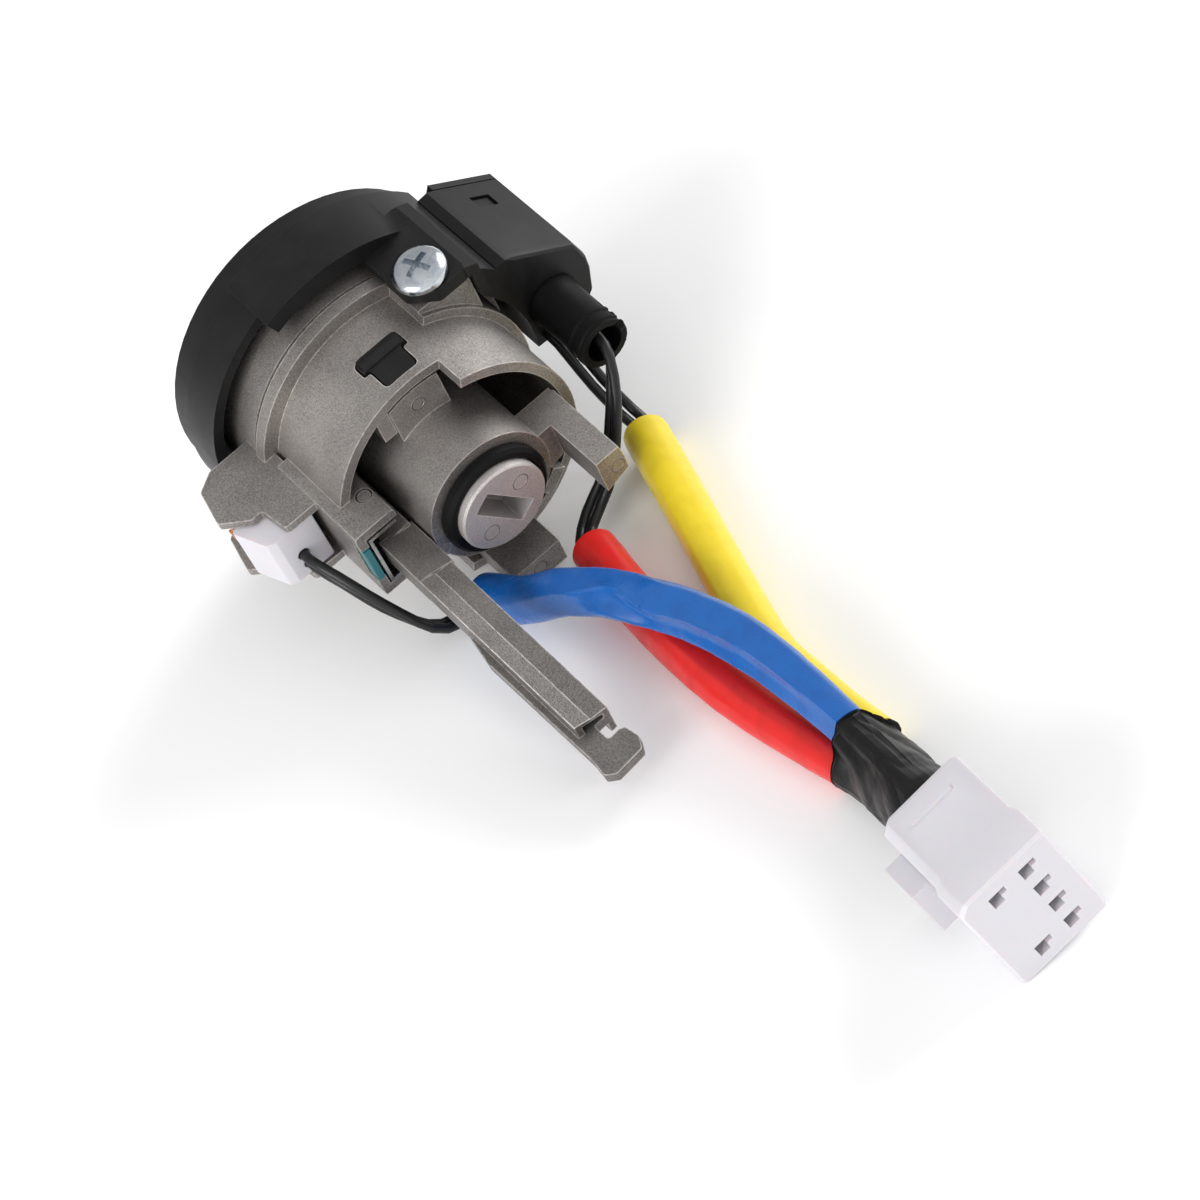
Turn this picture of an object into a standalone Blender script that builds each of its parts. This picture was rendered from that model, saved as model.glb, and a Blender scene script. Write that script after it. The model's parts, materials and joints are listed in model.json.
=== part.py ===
"""Ignition switch: a lock cylinder with its locking lever, key switch, antenna ring and harness.

Metres, +Z up. The lock is drawn about its own axis: X runs along that axis to the drive slot of the
rotor, whose face is X = 0, and Z is the castings' own up. The empty "lock" then tips the whole lock
so that it rests on the rim of the antenna ring and on the foot of the leg. The harness lies on the
ground beside it and is drawn in world coordinates.
"""

import math

import bmesh
import bpy
from mathutils import Matrix, Vector

# Clearances
TOUCH = 0.0003  # between two pieces that touch
RUN = 0.0003  # round a piece that turns or slides

# Outer case: sleeve, flange and screw pad
BORE_R = 0.0202
SLEEVE_WALL = 0.0019
RIM_LOW_X = -0.0155  # where the sleeve ends on the left
RIM_HIGH_X = -0.0095  # where it ends on the right
RIM_STEP_DEG = 74.0
RIM_TURN_DEG = 176.0  # how far the low rim runs
FLANGE_X = -0.0335
FLANGE_T = 0.0025
FLANGE_WALL = 0.0048
COLLAR_WALL = 0.0043
GROOVE_T = 0.0010
CASE_BACK_X = -0.0483
SWELL_WALL = 0.0036  # the raised collar at the right
SWELL_X = -0.0240
PAD_LEFT_Y = 0.0095
PAD_RIGHT_Y = 0.0200
PAD_FRONT_X = -0.0250
PAD_TOP_Z = 0.0225
HOOK_LEFT_Y = -0.0083  # a stop on the low rim
HOOK_W = 0.0026
HOOK_LOW_Z = 0.0136
HOOK_L = 0.0060

# Guide block for the lever, on the left of the case
BLOCK_LEFT_Y = -0.0228
BLOCK_RIGHT_Y = -0.0145
BLOCK_TOP_Z = 0.0082
BLOCK_BOTTOM_Z = -0.0086
BLOCK_BACK_X = -0.0310
BLOCK_END_X = -0.0085
BLOCK_WALL = 0.0016
BLOCK_ROOF = 0.0019

# Bracket for the key switch
BRACKET_T = 0.0017
BRACKET_BACK_X = -0.0397
BRACKET_END_X = -0.0200
BRACKET_REACH = 0.0138  # from the block's left wall

# Inner body: boss, key rib, finger, prong and leg
BOSS_R = 0.0122
BOSS_END_X = -0.0038
INNER_BACK_X = -0.0480
INNER_FLANGE_T = 0.0040
RIB_LEFT_Y = -0.0056
RIB_RIGHT_Y = 0.0048
RIB_END_X = -0.0155
FINGER_IN_Y = 0.0145
FINGER_TOP_Z = 0.0037
FINGER_BACK_X = -0.0102
FINGER_END_X = 0.0084
FINGER_T = 0.0070
PRONG_T = 0.0026
PRONG_END_X = -0.0080
LEG_W = 0.0099
LEG_FOOT_Z = -0.0198
LEG_T = 0.0051
LEG_END_X = 0.0016

# Rotor
BARREL_R = 0.0092
BARREL_END_X = -0.0043
HEAD_R = 0.0112
HEAD_T = 0.0036
CAP_T = 0.0015
KEYWAY_W = 0.0028
KEYWAY_H = 0.0096
KEYWAY_DEPTH = 0.0300
TAIL_R = 0.0084
TAIL_T = 0.0040
SLOT_L = 0.0113
SLOT_W = 0.0041
SLOT_DEPTH = 0.0062
SLOT_DEG = -54.5
SEAL_R = 0.0103
SEAL_T = 0.0020

# Antenna ring, bezel and coil
RING_WALL = 0.0020
RING_ROOM = 0.0024  # between its wall and the flange
RING_X = -0.0420
RING_T = 0.0080
RING_FLOOR_T = 0.0014
RING_HOLE_R = 0.0212
ARC_PROUD = 0.0015  # of the arc cover over the ring
ARC_FROM_DEG = 36.0
ARC_TO_DEG = 110.0
ARC_X = -0.0380
TAB_T = 0.0028
TAB_FRONT_X = -0.0233
TAB_CHAMFER = 0.0042
TAB_LIP = 0.0016
TAB_LIP_LOW_Z = 0.0170
BEZEL_R = 0.0285
BEZEL_T = 0.0057
BEZEL_WALL = 0.0015
BEZEL_HOLE_R = 0.0125
COIL_GAP = 0.0008  # inside the bezel's wall
COIL_W = 0.0034
COIL_T = 0.0034

# Electronics box on the ring, and its boot
BOX_FRONT_X = -0.0245
BOX_BACK_X = -0.0466
BOX_REACH = 0.0093  # from the arc cover outwards
BOX_LOW_Z = -0.0022
BOX_SHOULDER = 0.0026  # where its slope meets the arc cover
BOX_EASE = 0.94  # how much narrower its front face is
BOX_WALL = 0.0016
LATCH_W = 0.0036
LATCH_L = 0.0026
LATCH_X = -0.0425
LID_T = 0.0015
LID_SEAT = 0.0020
BOARD_T = 0.0012
BOARD_H = 0.0103
BOARD_GAP = 0.0021  # from the arc cover
CHIP_T = 0.0010
BOOT_IN = 0.0089  # from the box's outer side
BOX_WIRES_IN = 0.0114  # from the same side
BOOT_Z = 0.0030
BOOT_R = 0.0047
BOOT_WALL = 0.0012
BOOT_L = 0.0142
BOOT_CUP = 0.0060
BOOT_RIB = 0.0003

# Screw
SCREW_X = -0.0283
SCREW_Y = 0.0140
SCREW_HEAD_R = 0.00485
SCREW_HEAD_H = 0.0024
SCREW_SHANK_R = 0.0018
SCREW_DEPTH = 0.0056
CROSS_L = 0.0052
CROSS_W = 0.0011

# Snap in the sleeve's window
SNAP_X = -0.0254
SNAP_Y = 0.0002
SNAP_L = 0.0078
SNAP_W = 0.0088
SNAP_BAR_L = 0.0030
SNAP_PROUD = 0.0005
SNAP_BAR_R = 0.0014
SNAP_BAR_PROUD = 0.0006
SNAP_STUD_R = 0.0014

# Lever, its pin, spring, liner and pad
PIVOT_X = -0.0145
PIVOT_Y = -0.0163
PIN_R = 0.0012
LEVER_LEFT_Y = -0.0193
LEVER_RIGHT_Y = -0.0129
LEVER_RIDGE_Z = 0.0024
LEVER_SIDE_Z = 0.0010
LEVER_SKIRT_Z = -0.0053
LEVER_WALL = 0.0012
LEVER_BACK_X = -0.0290
LEVER_ROOT_X = 0.0015
LEVER_END_X = 0.0435
PLATE_TOP_Z = -0.0008
PLATE_T = 0.0022
PLATE_LEFT_Y = -0.0207
HOOK_END_X = 0.0530
SPRING_WIRE_R = 0.0003
SPRING_R = 0.0021
SPRING_TURNS = 2.5
LINER_T = 0.0006
LINER_L = 0.0026
GUIDE_PAD_W = 0.0012
GUIDE_PAD_L = 0.0020
GUIDE_PAD_LOW_Z = -0.0038
GUIDE_PAD_H = 0.0080

# Key switch
SWITCH_LEFT_X = -0.0372
SWITCH_END_X = -0.0205
SWITCH_OUT_Y = -0.0345
SWITCH_IN_Y = -0.0240
CONTACT_T = 0.0007
PLUNGER_R = 0.0011
PLUNGER_X = -0.0265

# Harness: wires, sleeves, tape and connector
WIRE_R = 0.0009
SLEEVE_R = 0.0041
SLEEVE_TAPED_R = 0.0033  # where the tape presses it together
NARROW_FROM_X = 0.0500
TAPE_START_X = 0.0798
TAPE_SKIN = 0.0003
TAPE_END_R = 0.0068
PLUG_X = 0.1088
PLUG_Y = 0.0080
PLUG_TURN_DEG = -4.9
PLUG_ROLL_DEG = 9.6
PLUG_L = 0.0230
PLUG_W = 0.0156
PLUG_H = 0.0208
PLUG_BEVEL_W = 0.0016
PLUG_BEVEL_H = 0.0012
COLLAR_X = 0.0150
COLLAR_PROUD = 0.0006
CAVITY_W = 0.0019
CAVITY_H = 0.0024
CAVITY_KEY = 0.0011
CAVITY_PITCH = 0.0048
CAVITY_DEPTH = 0.0090
ROW_Y = 0.0029  # of each row of cavities from the connector's middle
RETAINER_X = 0.0022
RETAINER_L = 0.0076
RETAINER_H = 0.0100
RETAINER_PROUD = 0.0034

# Sizes that follow
SLEEVE_OUT_R = BORE_R + SLEEVE_WALL
FLANGE_R = BORE_R + FLANGE_WALL
RING_R = FLANGE_R + RING_ROOM + RING_WALL
INNER_R = BORE_R - RUN
RIB_R = INNER_R - 0.0002
BARREL_BORE_R = BARREL_R + RUN
BRACKET_TOP_Z = BLOCK_TOP_Z - 0.0002
BRACKET_LOW_Z = BLOCK_BOTTOM_Z + 0.0006
SLOT_IN_BLOCK_Y = BLOCK_LEFT_Y + BLOCK_WALL
CAVITY_TOP_Z = BLOCK_TOP_Z - BLOCK_ROOF
CAVITY_LOW_Z = BLOCK_BOTTOM_Z + BLOCK_ROOF
TAB_TOP_Z = PAD_TOP_Z + TOUCH + TAB_T
RING_BACK_X = RING_X - RING_T
BEZEL_X = RING_BACK_X - TOUCH
HEAD_X = INNER_BACK_X - RUN
ARC_R = RING_R + ARC_PROUD
BOX_OUT_Y = ARC_R + BOX_REACH
COIL_R = BEZEL_R - BEZEL_WALL - COIL_GAP
BOOT_X = BOX_FRONT_X + TOUCH
BOOT_Y = BOX_OUT_Y - BOOT_IN
LEG_SIDE_Y = LEG_W / 2
TILT = math.atan((RING_R + LEG_FOOT_Z) / (LEG_END_X - RING_X))
LIFT = RING_R * math.cos(TILT) + RING_X * math.sin(TILT)


# Materials
def material(name, colour, roughness, metallic=0.0):
    made = bpy.data.materials.new(name)
    made.use_nodes = True
    shader = made.node_tree.nodes["Principled BSDF"]
    shader.inputs["Base Color"].default_value = (*colour, 1.0)
    shader.inputs["Roughness"].default_value = roughness
    shader.inputs["Metallic"].default_value = metallic
    return made


def all_materials():
    return {
        "zinc": material("zinc", (0.42, 0.40, 0.38), 0.45, 1.0),
        "zinc_bright": material("zinc_bright", (0.62, 0.59, 0.58), 0.35, 1.0),
        "steel": material("steel", (0.60, 0.60, 0.60), 0.30, 1.0),
        "plated_steel": material("plated_steel", (0.75, 0.77, 0.78), 0.20, 1.0),
        "brass": material("brass", (0.71, 0.52, 0.24), 0.35, 1.0),
        "copper": material("copper", (0.72, 0.33, 0.18), 0.35, 1.0),
        "black_plastic": material("black_plastic", (0.025, 0.025, 0.027), 0.50),
        "black_rubber": material("black_rubber", (0.015, 0.015, 0.016), 0.60),
        "black_tape": material("black_tape", (0.02, 0.02, 0.02), 0.30),
        "black_wire": material("black_wire", (0.02, 0.02, 0.02), 0.35),
        "white_plastic": material("white_plastic", (0.85, 0.85, 0.87), 0.40),
        "teal_plastic": material("teal_plastic", (0.02, 0.25, 0.32), 0.40),
        "board": material("board", (0.03, 0.16, 0.07), 0.50),
        "red_pvc": material("red_pvc", (0.80, 0.03, 0.03), 0.35),
        "yellow_pvc": material("yellow_pvc", (0.90, 0.76, 0.02), 0.35),
        "blue_pvc": material("blue_pvc", (0.02, 0.20, 0.62), 0.35),
    }


# Shapes
def object_of(bm):
    """An unnamed object with the mesh, its faces turned outwards."""
    bmesh.ops.recalc_face_normals(bm, faces=bm.faces)
    mesh = bpy.data.meshes.new("shape")
    bm.to_mesh(mesh)
    bm.free()
    made = bpy.data.objects.new("shape", mesh)
    bpy.context.scene.collection.objects.link(made)
    return made


def loft(rings):
    """A closed body through rings of as many points each."""
    bm = bmesh.new()
    rows = [[bm.verts.new(point) for point in ring] for ring in rings]
    bm.faces.new(rows[0])
    bm.faces.new(rows[-1])
    for row, other in zip(rows, rows[1:]):
        for i in range(len(row)):
            j = (i + 1) % len(row)
            bm.faces.new((row[i], row[j], other[j], other[i]))
    return object_of(bm)


def prism(outline, low, high, axis="X"):
    """An outline of (y, z), (x, z) or (x, y) drawn out along X, Y or Z."""
    place = {
        "X": lambda u, v, w: (w, u, v),
        "Y": lambda u, v, w: (u, w, v),
        "Z": lambda u, v, w: (u, v, w),
    }[axis]
    return loft([[place(u, v, w) for u, v in outline] for w in (low, high)])


def box(x, y, z):
    """A block between two values on each axis."""
    return prism([(y[0], z[0]), (y[1], z[0]), (y[1], z[1]), (y[0], z[1])], x[0], x[1])


def circle(radius, steps=32, centre=(0.0, 0.0)):
    turns = [math.tau * (i + 0.5) / steps for i in range(steps)]
    return [(centre[0] + radius * math.cos(a), centre[1] + radius * math.sin(a)) for a in turns]


def at(radius, degrees):
    """A point (y, z) about the lock axis."""
    return radius * math.cos(math.radians(degrees)), radius * math.sin(math.radians(degrees))


def arc(radius, start, end, steps=12):
    """Points on an arc about the lock axis, in degrees."""
    turns = [math.radians(start + (end - start) * i / steps) for i in range(steps + 1)]
    return [(radius * math.cos(a), radius * math.sin(a)) for a in turns]


def rounded(outline, radius, steps=3):
    """The outline with its corners rounded, no further than its sides allow."""
    points = []
    corners = [Vector(corner) for corner in outline]
    for i, corner in enumerate(corners):
        back = corners[i - 1] - corner
        on = corners[(i + 1) % len(corners)] - corner
        half = back.angle(on) / 2
        reach = min(radius / math.tan(half), 0.45 * back.length, 0.45 * on.length)
        start = corner + back.normalized() * reach
        end = corner + on.normalized() * reach
        for k in range(steps + 1):
            t = k / steps
            points.append(tuple(start * (1 - t) ** 2 + corner * 2 * t * (1 - t) + end * t ** 2))
    return points


def turned(profile, start=2.5, end=362.5, steps=72):
    """A closed profile of (x, r) turned about the lock axis, all round or from start to end.

    A full turn starts half a facet round, so that edges don't fall on the planes of symmetry.
    """
    whole = end - start >= 360.0
    count = steps if whole else max(2, round(steps * (end - start) / 360.0))
    bm = bmesh.new()
    rows = []
    for i in range(count if whole else count + 1):
        a = math.radians(start + (end - start) * i / count)
        rows.append([bm.verts.new((x, r * math.cos(a), r * math.sin(a))) for x, r in profile])
    pairs = list(zip(rows, rows[1:]))
    if whole:
        pairs.append((rows[-1], rows[0]))
    else:
        bm.faces.new(rows[0])
        bm.faces.new(rows[-1])
    for row, other in pairs:
        for i in range(len(profile)):
            j = (i + 1) % len(profile)
            bm.faces.new((row[i], row[j], other[j], other[i]))
    bmesh.ops.remove_doubles(bm, verts=bm.verts, dist=1e-7)
    bmesh.ops.dissolve_degenerate(bm, edges=bm.edges, dist=1e-7)
    on_axis = [edge for edge in bm.edges if not edge.link_faces]
    bmesh.ops.delete(bm, geom=on_axis, context="EDGES")
    return object_of(bm)


def tube(low, high, inner, outer, **sweep):
    return turned([(low, inner), (high, inner), (high, outer), (low, outer)], **sweep)


def rod(low, high, radius, centre=(0.0, 0.0), axis="X", steps=32):
    return prism(circle(radius, steps, centre), low, high, axis)


def bake(body):
    """Keep what the modifiers make as the object's own mesh."""
    graph = bpy.context.evaluated_depsgraph_get()
    made = bpy.data.meshes.new_from_object(body.evaluated_get(graph))
    body.modifiers.clear()
    body.data = made
    return body


def combined(operation, body, tools):
    """Boolean of the body with each tool, which it uses up."""
    for tool in tools:
        step = body.modifiers.new("Boolean", "BOOLEAN")
        step.operation = operation
        step.object = tool
        bake(body)
        bpy.data.objects.remove(tool)
    return body


def union(body, *tools):
    return combined("UNION", body, tools)


def cut(body, *tools):
    return combined("DIFFERENCE", body, tools)


def moved(body, matrix):
    body.data.transform(matrix)
    return body


def finish(body, name, look, carrier=None, origin=(0.0, 0.0, 0.0)):
    """Name the piece, give it its material and put its origin where it turns."""
    body.name = name
    body.data.name = name
    body.data.transform(Matrix.Translation(-Vector(origin)))
    body.location = origin
    body.parent = carrier
    body.data.materials.clear()
    body.data.materials.append(look)
    body.data.shade_smooth()
    body.data.set_sharp_from_angle(angle=math.radians(32))
    return body


# Outer case
def case_blank():
    """The turned form of the case, still solid."""
    back_r = BORE_R + COLLAR_WALL
    flange_back = FLANGE_X - FLANGE_T
    return turned([
        (CASE_BACK_X, 0.0),
        (RIM_HIGH_X, 0.0),
        (RIM_HIGH_X, SLEEVE_OUT_R),
        (FLANGE_X, SLEEVE_OUT_R),
        (FLANGE_X, FLANGE_R),
        (flange_back, FLANGE_R),
        (flange_back, back_r - 0.0006),
        (flange_back - GROOVE_T, back_r - 0.0006),
        (flange_back - GROOVE_T, back_r),
        (CASE_BACK_X, back_r),
    ])


def bracket_plate(top):
    """One of the two plates that hold the key switch, seen from above."""
    out = BLOCK_LEFT_Y - BRACKET_REACH
    back, end = BRACKET_BACK_X, BRACKET_END_X
    outline = [
        (back, BLOCK_LEFT_Y + 0.0015),
        (back, out + 0.0053),
        (back + 0.0023, out + 0.0017),
        (back + 0.0098, out),
        (end - 0.0058, out + 0.0046),
        (end - 0.0062, out + 0.0067),
        (end, out + 0.0074),
        (end, BLOCK_LEFT_Y + 0.0015),
    ]
    return prism(rounded(outline, 0.0008, 2), top - BRACKET_T, top, "Z")


def guide_block():
    """The hollow block that the lever runs in, open at its end and to the bore."""
    low, top = BLOCK_BOTTOM_Z, BLOCK_TOP_Z
    left, right = BLOCK_LEFT_Y, BLOCK_RIGHT_Y
    outline = [(left, low), (right, low), (right, top), (left, top)]
    return prism(rounded(outline, 0.0006, 2), BLOCK_BACK_X, BLOCK_END_X)


def snap_outline(grow):
    """The snap seen from above: a bar across the sleeve with a tongue in front of it."""
    back = SNAP_X - grow
    bar = SNAP_X + SNAP_BAR_L + grow
    end = SNAP_X + SNAP_L + grow
    half = SNAP_W / 2 + grow
    tongue = SNAP_W * 0.36 + grow
    outline = [(back, -half), (bar, -half), (bar, -tongue), (end, -tongue), (end, tongue),
               (bar, tongue), (bar, half), (back, half)]
    return rounded([(x, y + SNAP_Y) for x, y in outline], 0.0012, 3)


def outer_case():
    flange_back = FLANGE_X - FLANGE_T
    swell = tube(FLANGE_X - 0.0005, SWELL_X, BORE_R - 0.002, BORE_R + SWELL_WALL,
                 start=-68.0, end=66.0)
    pad = box((flange_back + 0.0003, PAD_FRONT_X), (PAD_LEFT_Y, PAD_RIGHT_Y),
              (BORE_R / 4, PAD_TOP_Z))
    body = union(case_blank(), swell, pad, bracket_plate(BRACKET_TOP_Z),
                 bracket_plate(BRACKET_LOW_Z + BRACKET_T))
    bore = rod(CASE_BACK_X - 0.001, RIM_HIGH_X + 0.001, BORE_R, steps=72)
    low_rim = tube(RIM_LOW_X, RIM_HIGH_X + 0.002, BORE_R - 0.003, SLEEVE_OUT_R + 0.003,
                   start=RIM_STEP_DEG, end=RIM_STEP_DEG + RIM_TURN_DEG)
    body = cut(cut(body, bore), low_rim)
    hook = box((RIM_LOW_X - HOOK_L, RIM_LOW_X - 0.0001), (HOOK_LEFT_Y, HOOK_LEFT_Y + HOOK_W),
               (HOOK_LOW_Z, BORE_R - 0.0007))
    body = union(body, hook, guide_block())
    lever_way = box((BLOCK_BACK_X + BLOCK_ROOF, BLOCK_END_X + 0.001),
                    (SLOT_IN_BLOCK_Y, BLOCK_RIGHT_Y + 0.002), (CAVITY_LOW_Z, CAVITY_TOP_Z))
    window = prism(snap_outline(TOUCH), BORE_R - 0.003, SLEEVE_OUT_R + 0.002, "Z")
    screw_hole = rod(PAD_TOP_Z - SCREW_DEPTH - 0.001, PAD_TOP_Z + 0.001, SCREW_SHANK_R + TOUCH,
                     (SCREW_X, SCREW_Y), "Z", 24)
    pin_hole = rod(BLOCK_BOTTOM_Z - 0.001, BLOCK_TOP_Z + 0.001, PIN_R + TOUCH,
                   (PIVOT_X, PIVOT_Y), "Z", 24)
    plunger_hole = rod(BLOCK_LEFT_Y - 0.001, SLOT_IN_BLOCK_Y + 0.001, PLUNGER_R + RUN,
                       (PLUNGER_X, 0.0), "Y", 20)
    return cut(body, lever_way, window, screw_hole, pin_hole, plunger_hole, pad_recess(TOUCH))


def pad_recess(grow):
    """The teal pad's own shape, in the end face of the block's left wall."""
    left = BLOCK_LEFT_Y + 0.0002
    return box((BLOCK_END_X - GUIDE_PAD_L - grow, BLOCK_END_X + 0.0004),
               (left - grow, left + GUIDE_PAD_W + grow),
               (GUIDE_PAD_LOW_Z - grow, GUIDE_PAD_LOW_Z + GUIDE_PAD_H + grow))


# Inner body
def inner_arc(y_from, y_to):
    """Points on the ribs' outer radius, between two values of y, above the axis."""
    start = math.degrees(math.acos(y_from / RIB_R))
    end = math.degrees(math.acos(y_to / RIB_R))
    return arc(RIB_R, start, end, 6)


def finger_outline(inner_y, inner_low_z, low_z, radius):
    """The finger or its root from the front, with its outer side on a radius of the lock axis."""
    top = math.degrees(math.asin(FINGER_TOP_Z / radius))
    low = math.degrees(math.asin(low_z / radius))
    return [(inner_y, FINGER_TOP_Z), *arc(radius, top, low, 3), (inner_y, inner_low_z)]


def inner_body():
    boss = tube(INNER_BACK_X, BOSS_END_X, BARREL_BORE_R, BOSS_R)
    flange = tube(INNER_BACK_X + 0.0002, INNER_BACK_X + INNER_FLANGE_T, BARREL_BORE_R + 0.0005,
                  INNER_R)
    deep = INNER_BACK_X + INNER_FLANGE_T / 2
    inside = BOSS_R - 0.0008
    rib = prism([(RIB_LEFT_Y, inside - 0.001), (RIB_RIGHT_Y, inside - 0.001),
                 *inner_arc(RIB_RIGHT_Y, RIB_LEFT_Y)], deep, RIB_END_X)
    root = prism(finger_outline(inside - 0.0005, -0.0052, FINGER_TOP_Z - FINGER_T, RIB_R - 0.0003),
                 FINGER_BACK_X, BOSS_END_X - 0.0001)
    finger = prism(finger_outline(FINGER_IN_Y, -0.0039, FINGER_TOP_Z - 0.0060, RIB_R),
                   FINGER_BACK_X + 0.001, FINGER_END_X)
    leg = prism([(LEG_SIDE_Y, LEG_FOOT_Z + LEG_T), (-LEG_SIDE_Y, LEG_FOOT_Z + LEG_T)]
                + [(y, -z) for y, z in inner_arc(-LEG_SIDE_Y, LEG_SIDE_Y)], deep, LEG_END_X - 0.001)
    foot = box((RIM_HIGH_X + RUN, LEG_END_X), (-LEG_SIDE_Y - 0.0001, LEG_SIDE_Y + 0.0001),
               (LEG_FOOT_Z, LEG_FOOT_Z + LEG_T + 0.0001))
    prong = tube(deep, PRONG_END_X, RIB_R - PRONG_T, RIB_R, start=-57.5, end=-41.5)
    lump = rod(BOSS_END_X - 0.0022, BOSS_END_X + 0.0002, 0.0011, (-0.0112, -0.0030), steps=16)
    body = union(boss, flange, rib, root, finger, leg, foot, prong, lump)
    stud_hole = rod(INNER_R - 0.0032, INNER_R + 0.002, SNAP_STUD_R + TOUCH,
                    (SNAP_X + SNAP_L / 2, SNAP_Y), "Z", 20)
    return cut(body, stud_hole)


# Rotor
def keyway(low, high):
    half_w, half_h = KEYWAY_W / 2, KEYWAY_H / 2
    return box((low, high), (-half_w, half_w), (-half_h, half_h))


def rotor_barrel():
    body = turned([
        (HEAD_X - HEAD_T, 0.0),
        (BARREL_END_X, 0.0),
        (BARREL_END_X, BARREL_R),
        (HEAD_X, BARREL_R),
        (HEAD_X, HEAD_R),
        (HEAD_X - HEAD_T, HEAD_R),
    ], steps=56)
    socket = rod(BARREL_END_X - 0.0054, BARREL_END_X + 0.001, TAIL_R - 0.0012 + TOUCH, steps=48)
    return cut(body, socket, keyway(HEAD_X - HEAD_T - 0.001, HEAD_X - HEAD_T + KEYWAY_DEPTH))


def face_cap():
    back = HEAD_X - HEAD_T - TOUCH
    outer = HEAD_R + 0.0003
    body = turned([(back - CAP_T, 0.0), (back, 0.0), (back, outer), (back - CAP_T + 0.0005, outer),
                   (back - CAP_T, outer - 0.0005)], steps=56)
    return cut(body, keyway(back - CAP_T - 0.001, back + 0.001))


def tail_disc():
    hub = TAIL_R - 0.0012
    body = turned([
        (BARREL_END_X - 0.0050, 0.0),
        (0.0, 0.0),
        (0.0, TAIL_R - 0.0003),
        (-0.0003, TAIL_R),
        (-TAIL_T, TAIL_R),
        (-TAIL_T, hub),
        (BARREL_END_X - 0.0050, hub),
    ], steps=56)
    slot = box((-SLOT_DEPTH, 0.001), (-SLOT_L / 2, SLOT_L / 2), (-SLOT_W / 2, SLOT_W / 2))
    moved(slot, Matrix.Rotation(math.radians(SLOT_DEG), 4, "X"))
    return cut(body, slot)


def tail_seal():
    low = BOSS_END_X + TOUCH
    high = low + SEAL_T
    return turned([(low, TAIL_R + RUN), (high, TAIL_R + RUN), (high, SEAL_R - 0.0006),
                   (high - 0.0006, SEAL_R), (low, SEAL_R)], steps=48)


# Antenna ring, bezel, coil and box
def box_side(share=1.0):
    """The outer side of the electronics box from below to its shoulder; share eases it inwards."""
    points = [(BOX_OUT_Y - 0.0013, BOX_LOW_Z), (BOX_OUT_Y - 0.0001, BOX_LOW_Z + 0.0050),
              (BOX_OUT_Y, BOX_LOW_Z + 0.0081), (BOX_OUT_Y - 0.0012, BOX_LOW_Z + 0.0125),
              at(ARC_R + BOX_SHOULDER, 33.1)]
    return [(ARC_R + (y - ARC_R) * share, BOOT_Z + (z - BOOT_Z) * share) for y, z in points]


def box_outline(share):
    """The electronics box seen from its front."""
    shoulder = [at(ARC_R + BOX_SHOULDER * 0.73, 35.4), at(ARC_R + BOX_SHOULDER * 0.09, 37.2)]
    inside = arc(FLANGE_R + 0.0008, 37.0, -10.0, 8)
    return box_side(share) + shoulder + inside + [(ARC_R + 0.0041, BOX_LOW_Z - 0.0030)]


def box_shell():
    """The box, with the edges of its front face eased."""
    places = [(BOX_BACK_X, 1.0), (BOX_FRONT_X - 0.0014, 1.0), (BOX_FRONT_X - 0.0004, 0.98),
              (BOX_FRONT_X, BOX_EASE)]
    return loft([[(x, y, z) for y, z in box_outline(share)] for x, share in places])


def box_cavity_outline(shrink=0.0):
    """The hollow for the circuit board, outside the ring and inside the box's walls."""
    wall = BOX_WALL + shrink
    top = at(ARC_R + BOX_SHOULDER / 2, 31.7)
    return [(BOX_OUT_Y - 0.0013 - wall, BOX_LOW_Z + wall), (BOX_OUT_Y - 0.0001 - wall, BOX_LOW_Z + 0.005),
            (BOX_OUT_Y - wall, BOX_LOW_Z + 0.0078),
            (BOX_OUT_Y - 0.0018 - wall, BOX_LOW_Z + 0.0118 - shrink),
            (top[0], top[1] - shrink)] + arc(ARC_R + shrink, 28, -1.1, 5)


def on_slope(x, width, rise):
    """A block on the box's sloping side: along X, across the slope, and out of it."""
    low, high = Vector(box_side()[3]), Vector(box_side()[4])
    lean = math.atan2(high.y - low.y, high.x - low.x) - math.pi
    place = Matrix.Translation((0.0, *((low + high) / 2))) @ Matrix.Rotation(lean, 4, "X")
    return moved(box(x, (-width / 2, width / 2), rise), place)


def screw_tab():
    left, right = PAD_LEFT_Y - 0.0002, PAD_RIGHT_Y - 0.0002
    back = RING_X - 0.0010
    outline = [(back, left), (TAB_FRONT_X - TAB_CHAMFER, left),
               (TAB_FRONT_X, left + TAB_CHAMFER), (TAB_FRONT_X, right), (back, right)]
    plate = prism(rounded(outline, 0.0010, 2), TAB_TOP_Z - TAB_T, TAB_TOP_Z, "Z")
    lip_in = PAD_RIGHT_Y + TOUCH
    lip = prism([(right - 0.0004, TAB_TOP_Z), (lip_in + TAB_LIP, TAB_TOP_Z - 0.0012),
                 (lip_in + TAB_LIP, TAB_LIP_LOW_Z + 0.0005), (lip_in, TAB_LIP_LOW_Z),
                 (lip_in, TAB_TOP_Z - TAB_T),
                 (right - 0.0004, TAB_TOP_Z - TAB_T)], back, TAB_FRONT_X)
    return union(plate, lip)


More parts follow.
